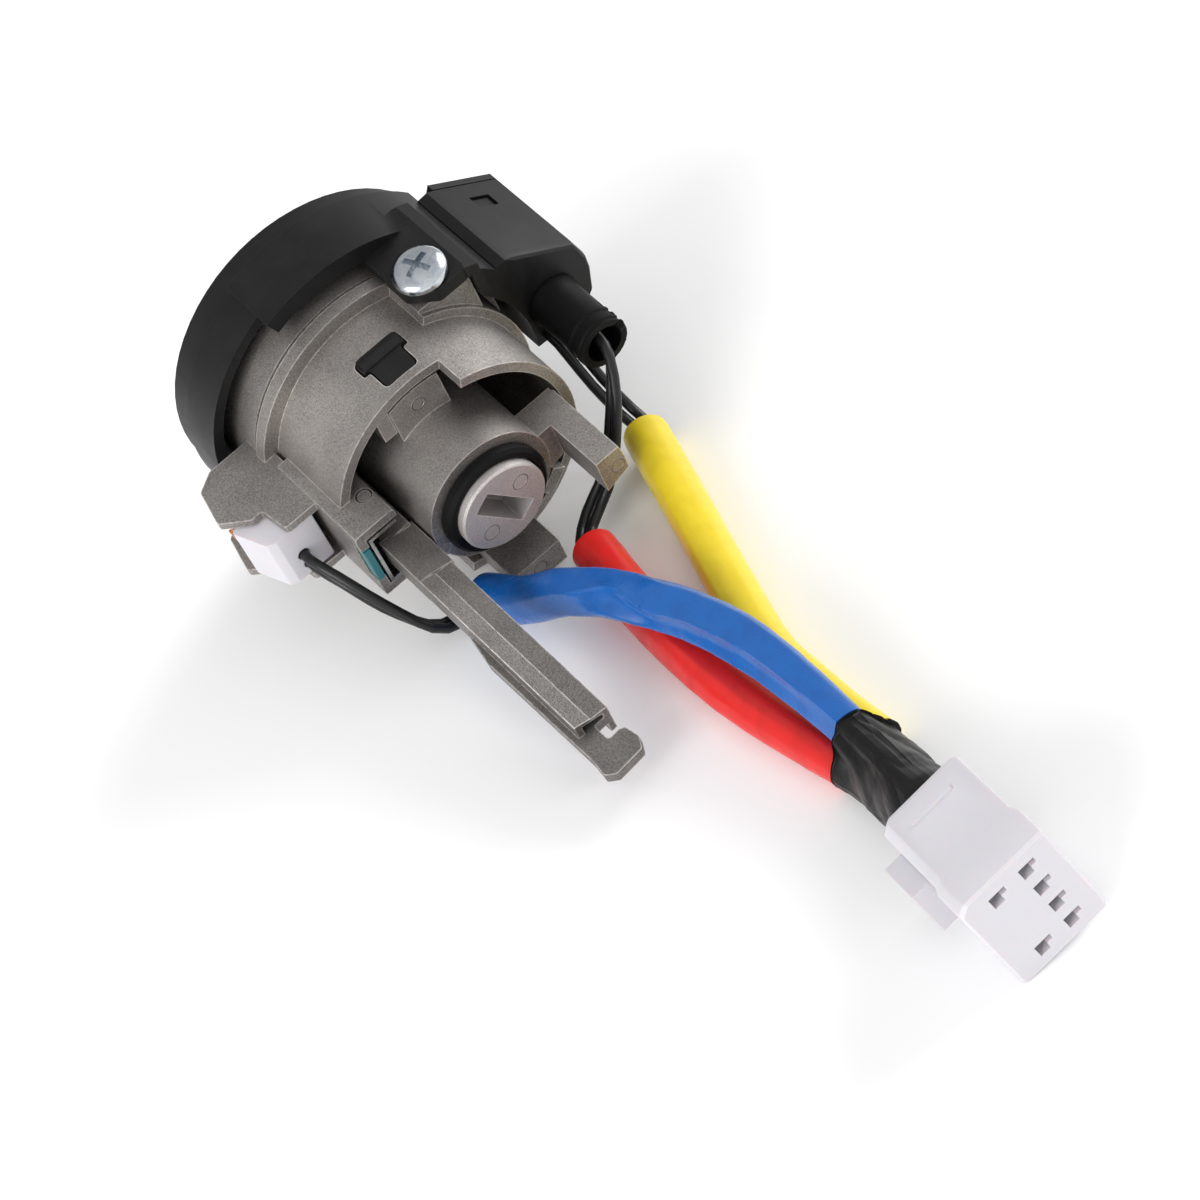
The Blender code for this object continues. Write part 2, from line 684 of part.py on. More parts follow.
def antenna_ring():
    skirt = turned([
        (RING_X, RING_R),
        (RING_BACK_X, RING_R),
        (RING_BACK_X, RING_HOLE_R),
        (RING_BACK_X + RING_FLOOR_T, RING_HOLE_R),
        (RING_BACK_X + RING_FLOOR_T, RING_R - RING_WALL),
        (RING_X, RING_R - RING_WALL),
    ], start=0.0, end=360.0)
    arc_cover = tube(RING_BACK_X, ARC_X, RING_R - RING_WALL, ARC_R, start=ARC_FROM_DEG,
                     end=ARC_TO_DEG)
    bridge = tube(ARC_X - 0.001, BOX_FRONT_X, RING_R - RING_WALL, ARC_R, start=ARC_FROM_DEG,
                  end=48.0)
    shell = box_shell()
    tab = screw_tab()
    body = union(skirt, arc_cover, bridge, shell, tab)
    hollow = prism(box_cavity_outline(), BOX_BACK_X - 0.001, BOX_FRONT_X - BOX_WALL)
    boot_hole = rod(BOX_FRONT_X - BOX_WALL - 0.001, BOX_FRONT_X + 0.001, 0.0022,
                    (BOOT_Y + 0.0022, BOOT_Z + 0.0005), steps=24)
    screw_hole = rod(TAB_TOP_Z - TAB_T - 0.001, TAB_TOP_Z + 0.001, SCREW_SHANK_R + 0.0005,
                     (SCREW_X, SCREW_Y), "Z", 24)
    keep_pad = box((RING_X - 0.0012, 0.0), (PAD_LEFT_Y - 0.003, PAD_RIGHT_Y + TOUCH),
                   (0.0, PAD_TOP_Z + TOUCH))
    keep_flange = rod(RING_BACK_X + RING_FLOOR_T + 0.0005, FLANGE_X + TOUCH,
                      FLANGE_R + TOUCH, steps=72)
    window = on_slope((LATCH_X - TOUCH, LATCH_X + LATCH_L + TOUCH), LATCH_W + 2 * TOUCH,
                      (-BOX_WALL - 0.001, 0.002))
    return cut(body, hollow, boot_hole, screw_hole, keep_pad, keep_flange, window)


def box_lid():
    high = BOX_BACK_X - TOUCH
    plate = prism(box_side() + arc(ARC_R + TOUCH, 31.0, -4.0, 6), high - LID_T, high)
    plug = prism(box_cavity_outline(TOUCH), high - LID_T / 2, high + LID_SEAT)
    under = -BOX_WALL - TOUCH
    arm = on_slope((high, LATCH_X + LATCH_L), LATCH_W, (under - 0.0010, under))
    nib = on_slope((LATCH_X, LATCH_X + LATCH_L), LATCH_W, (under - 0.0005, -0.0005))
    return union(plate, plug, arm, nib)


def circuit_board():
    low_z = BOX_LOW_Z + BOX_WALL + TOUCH
    side = ARC_R + BOARD_GAP
    back = BOX_BACK_X - TOUCH + LID_SEAT + TOUCH
    front = BOX_FRONT_X - BOX_WALL - TOUCH
    plate = box((back, front), (side, side + BOARD_T), (low_z, low_z + BOARD_H))
    chip = box((back + 0.005, back + 0.011), (side + BOARD_T / 2, side + BOARD_T + CHIP_T),
               (low_z + 0.0013, low_z + 0.0063))
    return union(plate, chip)


def boot():
    end = BOOT_X + BOOT_L
    centre = (BOOT_Y, BOOT_Z)
    places = [(BOOT_X, BOOT_R + 0.0003), (BOOT_X + 0.0008, BOOT_R + 0.0003),
              (BOOT_X + 0.0016, BOOT_R)]
    for rib in (end - 0.0042, end - 0.0018):
        places += [(rib, BOOT_R), (rib + 0.0003, BOOT_R + BOOT_RIB),
                   (rib + 0.0009, BOOT_R + BOOT_RIB), (rib + 0.0012, BOOT_R)]
    places.append((end, BOOT_R))
    body = loft([[(x, y, z) for y, z in circle(radius, 24, centre)] for x, radius in places])
    cup = rod(end - BOOT_CUP, end + 0.001, BOOT_R - BOOT_WALL, centre, steps=24)
    slot = box((end - BOOT_CUP, end + 0.001), (BOOT_Y, BOOT_Y + 0.010),
               (BOOT_Z + 0.0004, BOOT_Z + 0.0024))
    return cut(body, cup, slot)


def bezel():
    back = BEZEL_X - BEZEL_T
    return turned([
        (BEZEL_X, BEZEL_R),
        (back + 0.0008, BEZEL_R),
        (back, BEZEL_R - 0.0008),
        (back, BEZEL_HOLE_R),
        (BEZEL_X, BEZEL_HOLE_R),
        (BEZEL_X, BEZEL_HOLE_R + BEZEL_WALL),
        (back + BEZEL_WALL, BEZEL_HOLE_R + BEZEL_WALL),
        (back + BEZEL_WALL, BEZEL_R - BEZEL_WALL),
        (BEZEL_X, BEZEL_R - BEZEL_WALL),
    ], steps=60)


def antenna_coil():
    return tube(BEZEL_X - COIL_T, BEZEL_X, COIL_R - COIL_W, COIL_R, steps=48)


# Fasteners and small pieces
def screw():
    seat = TAB_TOP_Z + TOUCH
    low = PAD_TOP_Z - SCREW_DEPTH
    rise = [math.radians(90.0 * k / 5) for k in range(6)]
    dome = [(seat + 0.0008 + (SCREW_HEAD_H - 0.0008) * math.sin(a), SCREW_HEAD_R * math.cos(a))
            for a in rise]
    body = turned([(low, 0.0), (low, SCREW_SHANK_R), (seat, SCREW_SHANK_R), (seat, SCREW_HEAD_R)]
                  + dome, steps=24)
    upright = Matrix.Rotation(math.radians(-90), 4, "Y")
    moved(body, Matrix.Translation((SCREW_X, SCREW_Y, 0.0)) @ upright)
    arms = []
    for turn in (22.0, 112.0):
        arm = box((-CROSS_L / 2, CROSS_L / 2), (-CROSS_W / 2, CROSS_W / 2),
                  (seat + 0.0006, seat + 0.004))
        place = Matrix.Translation((SCREW_X, SCREW_Y, 0.0))
        arms.append(moved(arm, place @ Matrix.Rotation(math.radians(turn), 4, "Z")))
    return cut(body, *arms)


def window_snap():
    top = SLEEVE_OUT_R + SNAP_PROUD
    plate = prism(snap_outline(0.0), INNER_R + TOUCH, top, "Z")
    slope = prism([(SNAP_X + SNAP_BAR_L, top + 0.001), (SNAP_X + SNAP_BAR_L, top - 0.0004),
                   (SNAP_X + SNAP_L + 0.001, top - 0.0013), (SNAP_X + SNAP_L + 0.001, top + 0.001)],
                  -SNAP_W, SNAP_W, "Y")
    stud = rod(INNER_R - 0.0028, INNER_R + 0.001, SNAP_STUD_R,
               (SNAP_X + SNAP_L / 2, SNAP_Y), "Z", 20)
    bar = prism(circle(SNAP_BAR_R, 16, (SNAP_X + SNAP_BAR_L / 2, top + SNAP_BAR_PROUD - SNAP_BAR_R)),
                SNAP_Y - SNAP_W / 2 + 0.0004, SNAP_Y + SNAP_W / 2 - 0.0004, "Y")
    return union(cut(plate, slope), stud, bar)


# Lever and what holds it
def lever_section():
    """The lever's section, a roofed channel with a plate under it."""
    low = PLATE_TOP_Z - PLATE_T
    inner = LEVER_RIGHT_Y - LEVER_WALL
    crease = (LEVER_LEFT_Y + LEVER_RIGHT_Y) / 2 - 0.0002
    return [(LEVER_LEFT_Y, LEVER_RIDGE_Z), (LEVER_LEFT_Y, low), (inner, low),
            (inner, LEVER_SKIRT_Z), (LEVER_RIGHT_Y, LEVER_SKIRT_Z),
            (LEVER_RIGHT_Y, LEVER_SIDE_Z), (crease, LEVER_SIDE_Z + 0.0003),
            (crease, LEVER_SIDE_Z + 0.0005)]


def hook_plate():
    """The plate under the channel, which runs on past it as the hook."""
    end = HOOK_END_X
    right = LEVER_RIGHT_Y - LEVER_WALL / 2
    outline = [
        (LEVER_ROOT_X + 0.0115, LEVER_LEFT_Y),
        (LEVER_ROOT_X + 0.0195, PLATE_LEFT_Y),
        (end - 0.0047, PLATE_LEFT_Y + 0.0003),
        (end - 0.0013, PLATE_LEFT_Y - 0.0001),
        (end, PLATE_LEFT_Y + 0.0015),
        (end - 0.0005, PLATE_LEFT_Y + 0.0072),
        (end - 0.0026, PLATE_LEFT_Y + 0.0083),
        (end - 0.0056, PLATE_LEFT_Y + 0.0078),
        (end - 0.0060, PLATE_LEFT_Y + 0.0068),
        (end - 0.0058, PLATE_LEFT_Y + 0.0045),
        (LEVER_END_X, PLATE_LEFT_Y + 0.0045),
        (LEVER_END_X - 0.001, right),
        (LEVER_ROOT_X + 0.0115, right),
    ]
    return prism(rounded(outline, 0.0006, 2), PLATE_TOP_Z - PLATE_T, PLATE_TOP_Z, "Z")


def lever():
    bar = prism(lever_section(), LEVER_ROOT_X, LEVER_END_X)
    root_right = -BOSS_R - 0.0004
    root = prism([(LEVER_LEFT_Y, LEVER_RIDGE_Z), (LEVER_LEFT_Y, -0.0034), (root_right, -0.0034),
                  (root_right, LEVER_SIDE_Z)], BLOCK_END_X - 0.001, LEVER_ROOT_X + 0.0005)
    inner = prism([(LEVER_LEFT_Y + 0.0006, LEVER_RIDGE_Z - 0.0005), (LEVER_LEFT_Y + 0.0006, -0.0034),
                   (root_right - 0.0006, -0.0034), (root_right - 0.0006, LEVER_RIDGE_Z - 0.0005)],
                  LEVER_BACK_X, BLOCK_END_X - 0.0005)
    body = union(bar, root, inner, hook_plate())
    roof_in = LEVER_RIDGE_Z - 0.0012
    hollow = prism([(LEVER_LEFT_Y + LEVER_WALL, roof_in), (LEVER_LEFT_Y + LEVER_WALL, PLATE_TOP_Z),
                    (LEVER_RIGHT_Y - LEVER_WALL, PLATE_TOP_Z),
                    (LEVER_RIGHT_Y - LEVER_WALL, LEVER_SIDE_Z - 0.0007)],
                   LEVER_END_X - 0.0120, LEVER_END_X + 0.001)
    under = box((LEVER_ROOT_X + 0.004, LEVER_END_X - 0.003),
                (LEVER_LEFT_Y + LEVER_WALL, LEVER_RIGHT_Y - LEVER_WALL - 0.0008),
                (PLATE_TOP_Z - PLATE_T - 0.001, PLATE_TOP_Z - 0.0008))
    pin_hole = rod(-0.010, 0.010, PIN_R + RUN, (PIVOT_X, PIVOT_Y), "Z", 24)
    return cut(body, hollow, under, pin_hole)


def pivot_pin():
    return rod(BLOCK_BOTTOM_Z + 0.0002, BLOCK_TOP_Z - 0.0002, PIN_R, (PIVOT_X, PIVOT_Y), "Z", 24)


def lever_spring():
    """A torsion spring round the pin, above the lever."""
    pitch = 2 * SPRING_WIRE_R + 0.00015
    low = LEVER_RIDGE_Z + TOUCH + SPRING_WIRE_R
    steps = 16
    count = round(SPRING_TURNS * steps)
    route = []
    for i in range(count + 1):
        a = math.tau * i / steps
        route.append((PIVOT_X + SPRING_R * math.cos(a), PIVOT_Y + SPRING_R * math.sin(a),
                      low + pitch * i / steps))
    x, y, z = route[-1]
    route.append((x - 0.0006, y - 0.0008, z))
    return tube_along(route, SPRING_WIRE_R)


def steel_liner():
    """A folded strip in the mouth of the block: roof, left side and floor."""
    left = SLOT_IN_BLOCK_Y + TOUCH
    right = BLOCK_RIGHT_Y - 0.0006
    top, low = CAVITY_TOP_Z - TOUCH, CAVITY_LOW_Z + TOUCH
    t = LINER_T
    outline = [(right, top), (left, top), (left, low), (right, low), (right, low + t),
               (left + t, low + t), (left + t, top - t), (right, top - t)]
    return prism(outline, BLOCK_END_X - LINER_L, BLOCK_END_X + 0.0003)


def guide_pad():
    return pad_recess(0.0)


# Key switch
def switch_body():
    low = BRACKET_LOW_Z + BRACKET_T + TOUCH
    top = BRACKET_TOP_Z - BRACKET_T - TOUCH
    left, end = SWITCH_LEFT_X, SWITCH_END_X
    flange_side = -(FLANGE_R + TOUCH)
    outline = [(left, SWITCH_OUT_Y + 0.0016), (left + 0.0085, SWITCH_OUT_Y),
               (left + 0.0092, SWITCH_OUT_Y - 0.0012), (end - 0.0008, SWITCH_OUT_Y + 0.0012),
               (end, SWITCH_OUT_Y + 0.0028), (end, SWITCH_IN_Y),
               (FLANGE_X + 0.0008, SWITCH_IN_Y), (FLANGE_X + 0.0008, flange_side),
               (left, flange_side)]
    body = prism(rounded(outline, 0.0005, 2), low, top, "Z")
    holes = [rod(end - 0.0025, end + 0.001, WIRE_R + TOUCH, place, steps=16)
             for place in switch_wire_places()]
    bore = rod(SWITCH_IN_Y - 0.0030, SWITCH_IN_Y + 0.001, PLUNGER_R + RUN, (PLUNGER_X, 0.0), "Y", 20)
    slots = [contact_block(z, TOUCH) for z in contact_heights()]
    return cut(body, *holes, bore, *slots)


def contact_heights():
    return (-0.0024, 0.0022)


def contact_block(z, grow):
    left = SWITCH_LEFT_X + 0.0016
    half = CONTACT_T / 2 + grow
    return box((left - grow, left + 0.0046 + grow),
               (SWITCH_OUT_Y - 0.0002 - grow * 2, SWITCH_OUT_Y + 0.0040), (z - half, z + half))


def contact(z):
    piece = contact_block(z, 0.0)
    outer = box((SWITCH_LEFT_X - 0.001, SWITCH_LEFT_X + 0.012),
                (SWITCH_OUT_Y + 0.0037, SWITCH_OUT_Y + 0.010), (z - 0.002, z + 0.002))
    return cut(piece, outer)


def switch_wire_places():
    """Where the two wires leave the end of the switch, as (y, z)."""
    y = SWITCH_OUT_Y + 0.0058
    return [(y, -0.0010), (y + 0.0002, -0.0036)]


def switch_plunger():
    seat = SWITCH_IN_Y - 0.0027
    tip = LEVER_LEFT_Y + 0.0006 - TOUCH
    return rod(seat, tip, PLUNGER_R, (PLUNGER_X, 0.0), "Y", 20)


# Harness
def smooth(route, spacing):
    """Points along a smooth curve through the route."""
    ends = [Vector(p) for p in route]
    first, last = 2 * ends[0] - ends[1], 2 * ends[-1] - ends[-2]
    knots = [first, *ends, last]
    points = []
    for a, b, c, d in zip(knots, knots[1:], knots[2:], knots[3:]):
        steps = max(1, round((c - b).length / spacing))
        for i in range(steps):
            t = i / steps
            points.append(0.5 * (2 * b + (c - a) * t + (2 * a - 5 * b + 4 * c - d) * t ** 2
                                 + (3 * b - a - 3 * c + d) * t ** 3))
    return [*points, ends[-1]]


def tube_along(points, radius, share=lambda point: 1.0):
    """A round tube with filled ends along the points; share(point) is what is left of its radius."""
    curve = bpy.data.curves.new("shape", "CURVE")
    curve.dimensions = "3D"
    curve.resolution_u = 1
    curve.bevel_depth = radius
    curve.bevel_resolution = 2
    curve.use_fill_caps = True
    spline = curve.splines.new("POLY")
    spline.points.add(len(points) - 1)
    for knot, place in zip(spline.points, points):
        knot.co = (*place, 1.0)
        knot.radius = share(place)
    guide = bpy.data.objects.new("guide", curve)
    bpy.context.scene.collection.objects.link(guide)
    graph = bpy.context.evaluated_depsgraph_get()
    mesh = bpy.data.meshes.new_from_object(guide.evaluated_get(graph))
    bpy.data.objects.remove(guide)
    bm = bmesh.new()
    bm.from_mesh(mesh)
    bmesh.ops.remove_doubles(bm, verts=bm.verts, dist=1e-7)
    return object_of(bm)


def in_world(point):
    """A point of the lock's own frame in world coordinates."""
    return Matrix.Translation((0, 0, LIFT)) @ Matrix.Rotation(TILT, 4, "Y") @ Vector(point)


def taped_share(point):
    """What is left of a sleeve's radius where the tape presses the three together."""
    t = (point.x - NARROW_FROM_X) / (TAPE_START_X - NARROW_FROM_X)
    return 1.0 - max(0.0, min(1.0, t)) * (1.0 - SLEEVE_TAPED_R / SLEEVE_R)


def sleeve_routes():
    """Centre lines of the three sleeves, from the tape to their open mouths."""
    end = TAPE_START_X - TOUCH
    low = SLEEVE_R + 0.00005
    taped = SLEEVE_TAPED_R + TAPE_SKIN + 0.00005
    red = [(end, 0.0056, taped), (0.0700, 0.0047, 0.0039), (0.0600, 0.0040, low),
           (0.0500, 0.0038, low), (0.0360, 0.0040, low), (0.0200, 0.0055, low),
           (0.0050, 0.0078, low)]
    yellow = [(end, 0.0126, taped), (0.0700, 0.0122, 0.0039), (0.0600, 0.0122, low),
              (0.0500, 0.0127, low), (0.0331, 0.0172, low), (0.0160, 0.0222, low),
              (0.0030, 0.0260, low), (-0.0086, 0.0293, low)]
    blue = [(end, 0.0091, 0.0100), (0.0700, 0.0093, 0.0110), (0.0600, 0.0092, 0.0122),
            (0.0500, 0.0085, 0.0126), (0.0400, 0.0066, 0.0127), (0.0320, 0.0040, 0.0128),
            (0.0240, 0.0012, 0.0124), (0.0150, -0.0026, 0.0104), (0.0060, -0.0069, 0.0066),
            (-0.0032, -0.0104, 0.0048)]
    return {"red": red, "yellow": yellow, "blue": blue}


def mouth(colour, side, lead=0.0030):
    """Where a wire meets the mouth of a sleeve, to one side of its middle, and its last bend."""
    route = sleeve_routes()[colour]
    end, before = Vector(route[-1]), Vector(route[-2])
    out = (end - before).normalized()
    across = Vector((-out.y, out.x, 0.0)).normalized()
    meet = end + out * 2 * TOUCH + across * side
    return [meet + out * lead, meet]


def wire_routes():
    """Centre lines of the six wires, from the lock to the sleeves' mouths."""
    side = WIRE_R + TOUCH / 2
    routes = {}
    cup = BOOT_X + BOOT_L - BOOT_CUP + TOUCH
    bends = [((-0.0048, 0.0268, 0.0185), (1.0, 0.0, 0.3)),
             ((-0.0022, 0.0190, 0.0094), (1.0, 0.1, 0.0)),
             ((-0.0014, 0.0124, 0.0050), (0.9, 0.6, 0.0))]
    for i, way in enumerate((1, -1), 1):
        z = BOOT_Z - 0.0006 + way * side
        start = [in_world((cup, BOOT_Y, z)), in_world((cup + BOOT_CUP, BOOT_Y - 0.0002, z - 0.0002))]
        routes[f"boot_wire_{i}"] = wire_route(start, bends, "red", way * side, -1)
    bends = [((-0.0172, 0.0290, 0.0128), (0.0, 1.0, 0.0)),
             ((-0.0143, 0.0300, 0.0058), (0.2, 1.0, 0.0))]
    for i, way in enumerate((1, -1), 1):
        y, z = BOX_OUT_Y - BOX_WIRES_IN + way * side, BOX_LOW_Z - 0.0009
        start = [in_world((BOX_FRONT_X + TOUCH, y, z)), in_world((BOX_FRONT_X + 0.0030, y, z - 0.0004))]
        routes[f"box_wire_{i}"] = wire_route(start, bends, "yellow", way * side, -1)
    bends = [((-0.0135, -0.0272, 0.0192), (0.3, 0.0, 0.95)),
             ((-0.0086, -0.0245, 0.0130), (0.65, 0.1, 0.75)),
             ((-0.0050, -0.0206, 0.0062), (0.95, 0.0, 0.2)),
             ((-0.0058, -0.0165, 0.0026), (1.0, 0.1, 0.0)),
             ((-0.0066, -0.0128, 0.0032), (1.0, -0.5, 0.0))]
    for i, (way, (y, z)) in enumerate(zip((1, -1), switch_wire_places()), 1):
        start = [in_world((SWITCH_END_X - 0.0025 + TOUCH, y, z)), in_world((SWITCH_END_X + 0.0020, y, z))]
        routes[f"switch_wire_{i}"] = wire_route(start, bends, "blue", way * side, 1, 0.0012)
    return routes


def wire_route(start, bends, colour, shift, turn, lead=0.0030):
    """A wire of a pair: its start, its bends shifted by the pair's spread, and its sleeve's mouth."""
    route = [Vector(place) + Vector(spread) * shift for place, spread in bends]
    return [*start, *route, *mouth(colour, turn * shift, lead)]


def tape():
    """The taped bundle, from round the three sleeves to the back of the connector."""
    centres = [route[0][1:] for route in sleeve_routes().values()]
    reach = SLEEVE_TAPED_R + TAPE_SKIN
    count = 32
    back = plug_place() @ Vector((-TOUCH, 0.0, PLUG_H / 2))
    middle = Vector((sum(c[0] for c in centres) / 3, sum(c[1] for c in centres) / 3))
    start = []
    for i in range(count):
        a = math.tau * i / count
        way = Vector((math.cos(a), math.sin(a)))
        start.append(hull_point(centres, middle, reach, way))
    rings = []
    for k in range(7):
        t = k / 6
        ease = t * t * (3 - 2 * t)
        x = TAPE_START_X + (back.x - TAPE_START_X) * t
        centre = middle.lerp(Vector((back.y, back.z)), ease)
        waist = 1.0 - 0.05 * math.sin(math.pi * t)
        ring = []
        for i, place in enumerate(start):
            a = math.tau * i / count
            round_off = Vector((math.cos(a), math.sin(a))) * TAPE_END_R
            off = (place - middle).lerp(round_off, ease) * waist
            skew = (centre.x + off.x - back.y) * math.sin(math.radians(PLUG_TURN_DEG)) * ease
            ring.append((x - skew, centre.x + off.x, max(centre.y + off.y, 0.0)))
        rings.append(ring)
    return loft(rings)


def hull_point(centres, middle, reach, way):
    """Where a ray from the middle leaves the band round the three sleeves."""
    best = 0.0
    for step in range(1, 200):
        r = step * 0.0001
        spot = middle + way * r
        if inside_band(spot, centres, reach):
            best = r
    return middle + way * best


def inside_band(spot, centres, reach):
    """True within reach of the triangle between the centres."""
    near = min(distance_to_edge(spot, Vector(centres[i - 1]), Vector(centres[i])) for i in range(3))
    return near <= reach or in_triangle(spot, centres)


def distance_to_edge(spot, a, b):
    t = max(0.0, min(1.0, (spot - a).dot(b - a) / (b - a).length_squared))
    return (spot - a.lerp(b, t)).length


def in_triangle(spot, centres):
    signs = []
    for i in range(3):
        a, b = Vector(centres[i - 1]), Vector(centres[i])
        edge, off = b - a, spot - a
        signs.append(edge.x * off.y - edge.y * off.x > 0)
    return all(signs) or not any(signs)


# Connector
def plug_place():
    """Where the connector lies, on one of its long edges: X forward from the middle of its back."""
    roll = math.radians(PLUG_ROLL_DEG)
    lift = (PLUG_W / 2 + COLLAR_PROUD) * math.sin(roll)
    return (Matrix.Translation((PLUG_X, PLUG_Y, lift))
            @ Matrix.Rotation(math.radians(PLUG_TURN_DEG), 4, "Z")
            @ Matrix.Rotation(roll, 4, "X"))


def cavity_places():
    """The connector's cavities, as (y, z) across its front."""
    low = (PLUG_H - 3 * CAVITY_PITCH) / 2
    right = [(ROW_Y, low + CAVITY_PITCH * i) for i in range(4)]
    return right + [(-ROW_Y, low), (-ROW_Y, low + 3 * CAVITY_PITCH)]


def housing_outline(grow):
    """The connector from behind, bevelled along its upper left edge; grow moves its sides out."""
    half = PLUG_W / 2 + grow
    return rounded([(-half, 0.0), (half, 0.0), (half, PLUG_H + grow),
                    (-half + PLUG_BEVEL_W, PLUG_H + grow), (-half, PLUG_H + grow - PLUG_BEVEL_H)],
                   0.0007, 2)


def connector_housing():
    places = [(0.0, -COLLAR_PROUD), (0.0012, 0.0), (COLLAR_X, 0.0), (COLLAR_X + 0.0020, COLLAR_PROUD),
              (PLUG_L - 0.0005, COLLAR_PROUD), (PLUG_L, COLLAR_PROUD - 0.0004)]
    body = loft([[(x, y, z) for y, z in housing_outline(grow)] for x, grow in places])
    tools = []
    for y, z in cavity_places():
        deep = (PLUG_L - CAVITY_DEPTH, PLUG_L + 0.001)
        socket = box(deep, (y - CAVITY_W / 2, y + CAVITY_W / 2), (z - CAVITY_H / 2, z + CAVITY_H / 2))
        key = box(deep, (y, y + CAVITY_W / 2 + CAVITY_KEY), (z + 0.0001, z + CAVITY_H / 2))
        tools.append(union(socket, key))
    tools.append(retainer_shape(TOUCH))
    body = cut(body, *tools)
    bar = box((0.0044, 0.0052), (-PLUG_W / 4, PLUG_W / 4), (PLUG_H - 0.0005, PLUG_H + 0.0003))
    return moved(union(body, bar), plug_place())


def retainer_shape(grow):
    side = -PLUG_W / 2
    low = (PLUG_H - RETAINER_H) / 2
    return box((RETAINER_X - grow, RETAINER_X + RETAINER_L + grow),
               (side - RETAINER_PROUD, side + 0.0020 + grow), (low - grow, low + RETAINER_H + grow))


def connector_retainer():
    return moved(retainer_shape(0.0), plug_place())


def terminal(y, z):
    back = PLUG_L - CAVITY_DEPTH + TOUCH
    half_w, half_h = CAVITY_W / 2 - TOUCH, CAVITY_H / 2 - TOUCH
    body = box((back, back + 0.0050), (y - half_w, y + half_w), (z - half_h, z + half_h))
    socket = box((back + 0.0010, back + 0.0060), (y - 0.0003, y + 0.0003), (z - 0.0008, z + 0.0008))
    return moved(cut(body, socket), plug_place())


# Assembly
def clear_scene():
    for item in list(bpy.data.objects):
        bpy.data.objects.remove(item)


def empty(name, carrier=None, location=(0.0, 0.0, 0.0), tilt=0.0):
    made = bpy.data.objects.new(name, None)
    bpy.context.scene.collection.objects.link(made)
    made.parent = carrier
    made.location = location
    made.rotation_euler = (0.0, tilt, 0.0)
    return made


def stand_on_origin(root, lock):
    """Move the whole switch so that the origin is on the ground, under the middle of the lock."""
    bpy.context.view_layer.update()
    places = [piece.matrix_world @ point.co for piece in lock.children for point in piece.data.vertices]
    middles = [(min(p[i] for p in places) + max(p[i] for p in places)) / 2 for i in (0, 1)]
    root.location = (-middles[0], -middles[1], 0.0)


def build_lock(lock, looks):
    pivot = (PIVOT_X, PIVOT_Y, 0.0)
    plunger = (PLUNGER_X, SWITCH_IN_Y, 0.0)
    finish(outer_case(), "outer_case", looks["zinc"], lock)
    finish(inner_body(), "inner_body", looks["zinc"], lock)
    finish(rotor_barrel(), "rotor_barrel", looks["zinc"], lock)
    finish(face_cap(), "rotor_face_cap", looks["steel"], lock)
    finish(tail_disc(), "tail_disc", looks["zinc_bright"], lock)
    finish(tail_seal(), "tail_seal", looks["black_rubber"], lock)
    finish(antenna_ring(), "antenna_ring", looks["black_plastic"], lock)
    finish(box_lid(), "box_lid", looks["black_plastic"], lock)
    finish(circuit_board(), "circuit_board", looks["board"], lock)
    finish(boot(), "boot", looks["black_rubber"], lock)
    finish(bezel(), "bezel", looks["black_plastic"], lock)
    finish(antenna_coil(), "antenna_coil", looks["copper"], lock)
    finish(screw(), "screw", looks["plated_steel"], lock)
    finish(window_snap(), "window_snap", looks["black_plastic"], lock)
    finish(lever(), "lever", looks["zinc"], lock, pivot)
    finish(pivot_pin(), "pivot_pin", looks["steel"], lock, pivot)
    finish(lever_spring(), "lever_spring", looks["steel"], lock, pivot)
    finish(steel_liner(), "steel_liner", looks["steel"], lock)
    finish(guide_pad(), "guide_pad", looks["teal_plastic"], lock)
    finish(switch_body(), "switch_body", looks["white_plastic"], lock)
    for i, z in enumerate(contact_heights(), 1):
        finish(contact(z), f"switch_contact_{i}", looks["copper"], lock)
    finish(switch_plunger(), "switch_plunger", looks["white_plastic"], lock, plunger)


def build_harness(root, looks):
    for name, route in wire_routes().items():
        finish(tube_along(smooth(route, 5 * WIRE_R), WIRE_R), name, looks["black_wire"], root)
    for colour, route in sleeve_routes().items():
        piece = tube_along(smooth(route, 1.1 * SLEEVE_R), SLEEVE_R, taped_share)
        finish(piece, f"{colour}_sleeve", looks[f"{colour}_pvc"], root)
    finish(tape(), "tape", looks["black_tape"], root)
    finish(connector_housing(), "connector_housing", looks["white_plastic"], root)
    finish(connector_retainer(), "connector_retainer", looks["white_plastic"], root)
    for i, (y, z) in enumerate(cavity_places(), 1):
        finish(terminal(y, z), f"terminal_{i}", looks["brass"], root)


def build_switch():
    clear_scene()
    looks = all_materials()
    root = empty("ignition_switch")
    lock = empty("lock", root, (0.0, 0.0, LIFT), TILT)
    build_lock(lock, looks)
    build_harness(root, looks)
    stand_on_origin(root, lock)


build_switch()
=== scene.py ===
"""Looks of the ignition switch: its camera, its harness and the finish of every piece.

The lock's own frame has X along its axis, from the key to the drive slot, and its origin in the middle
of the rotor's tail face. It is tipped on the ground by TILT and lifted by LIFT, as in the model.
"""

import json
import math

import bmesh
import bpy
from mathutils import Matrix, Vector, noise


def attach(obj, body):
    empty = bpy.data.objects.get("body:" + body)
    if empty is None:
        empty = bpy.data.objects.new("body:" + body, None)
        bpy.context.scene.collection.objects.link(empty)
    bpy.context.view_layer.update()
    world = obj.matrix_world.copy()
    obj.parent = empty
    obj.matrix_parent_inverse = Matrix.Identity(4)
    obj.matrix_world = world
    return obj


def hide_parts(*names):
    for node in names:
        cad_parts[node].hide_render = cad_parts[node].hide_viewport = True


TILT = 0.21672531
LIFT = 0.01968087
SHIFT = Vector((0.00453666, -0.00185215, 0.0))  # from the harness routes' own origin to the row's

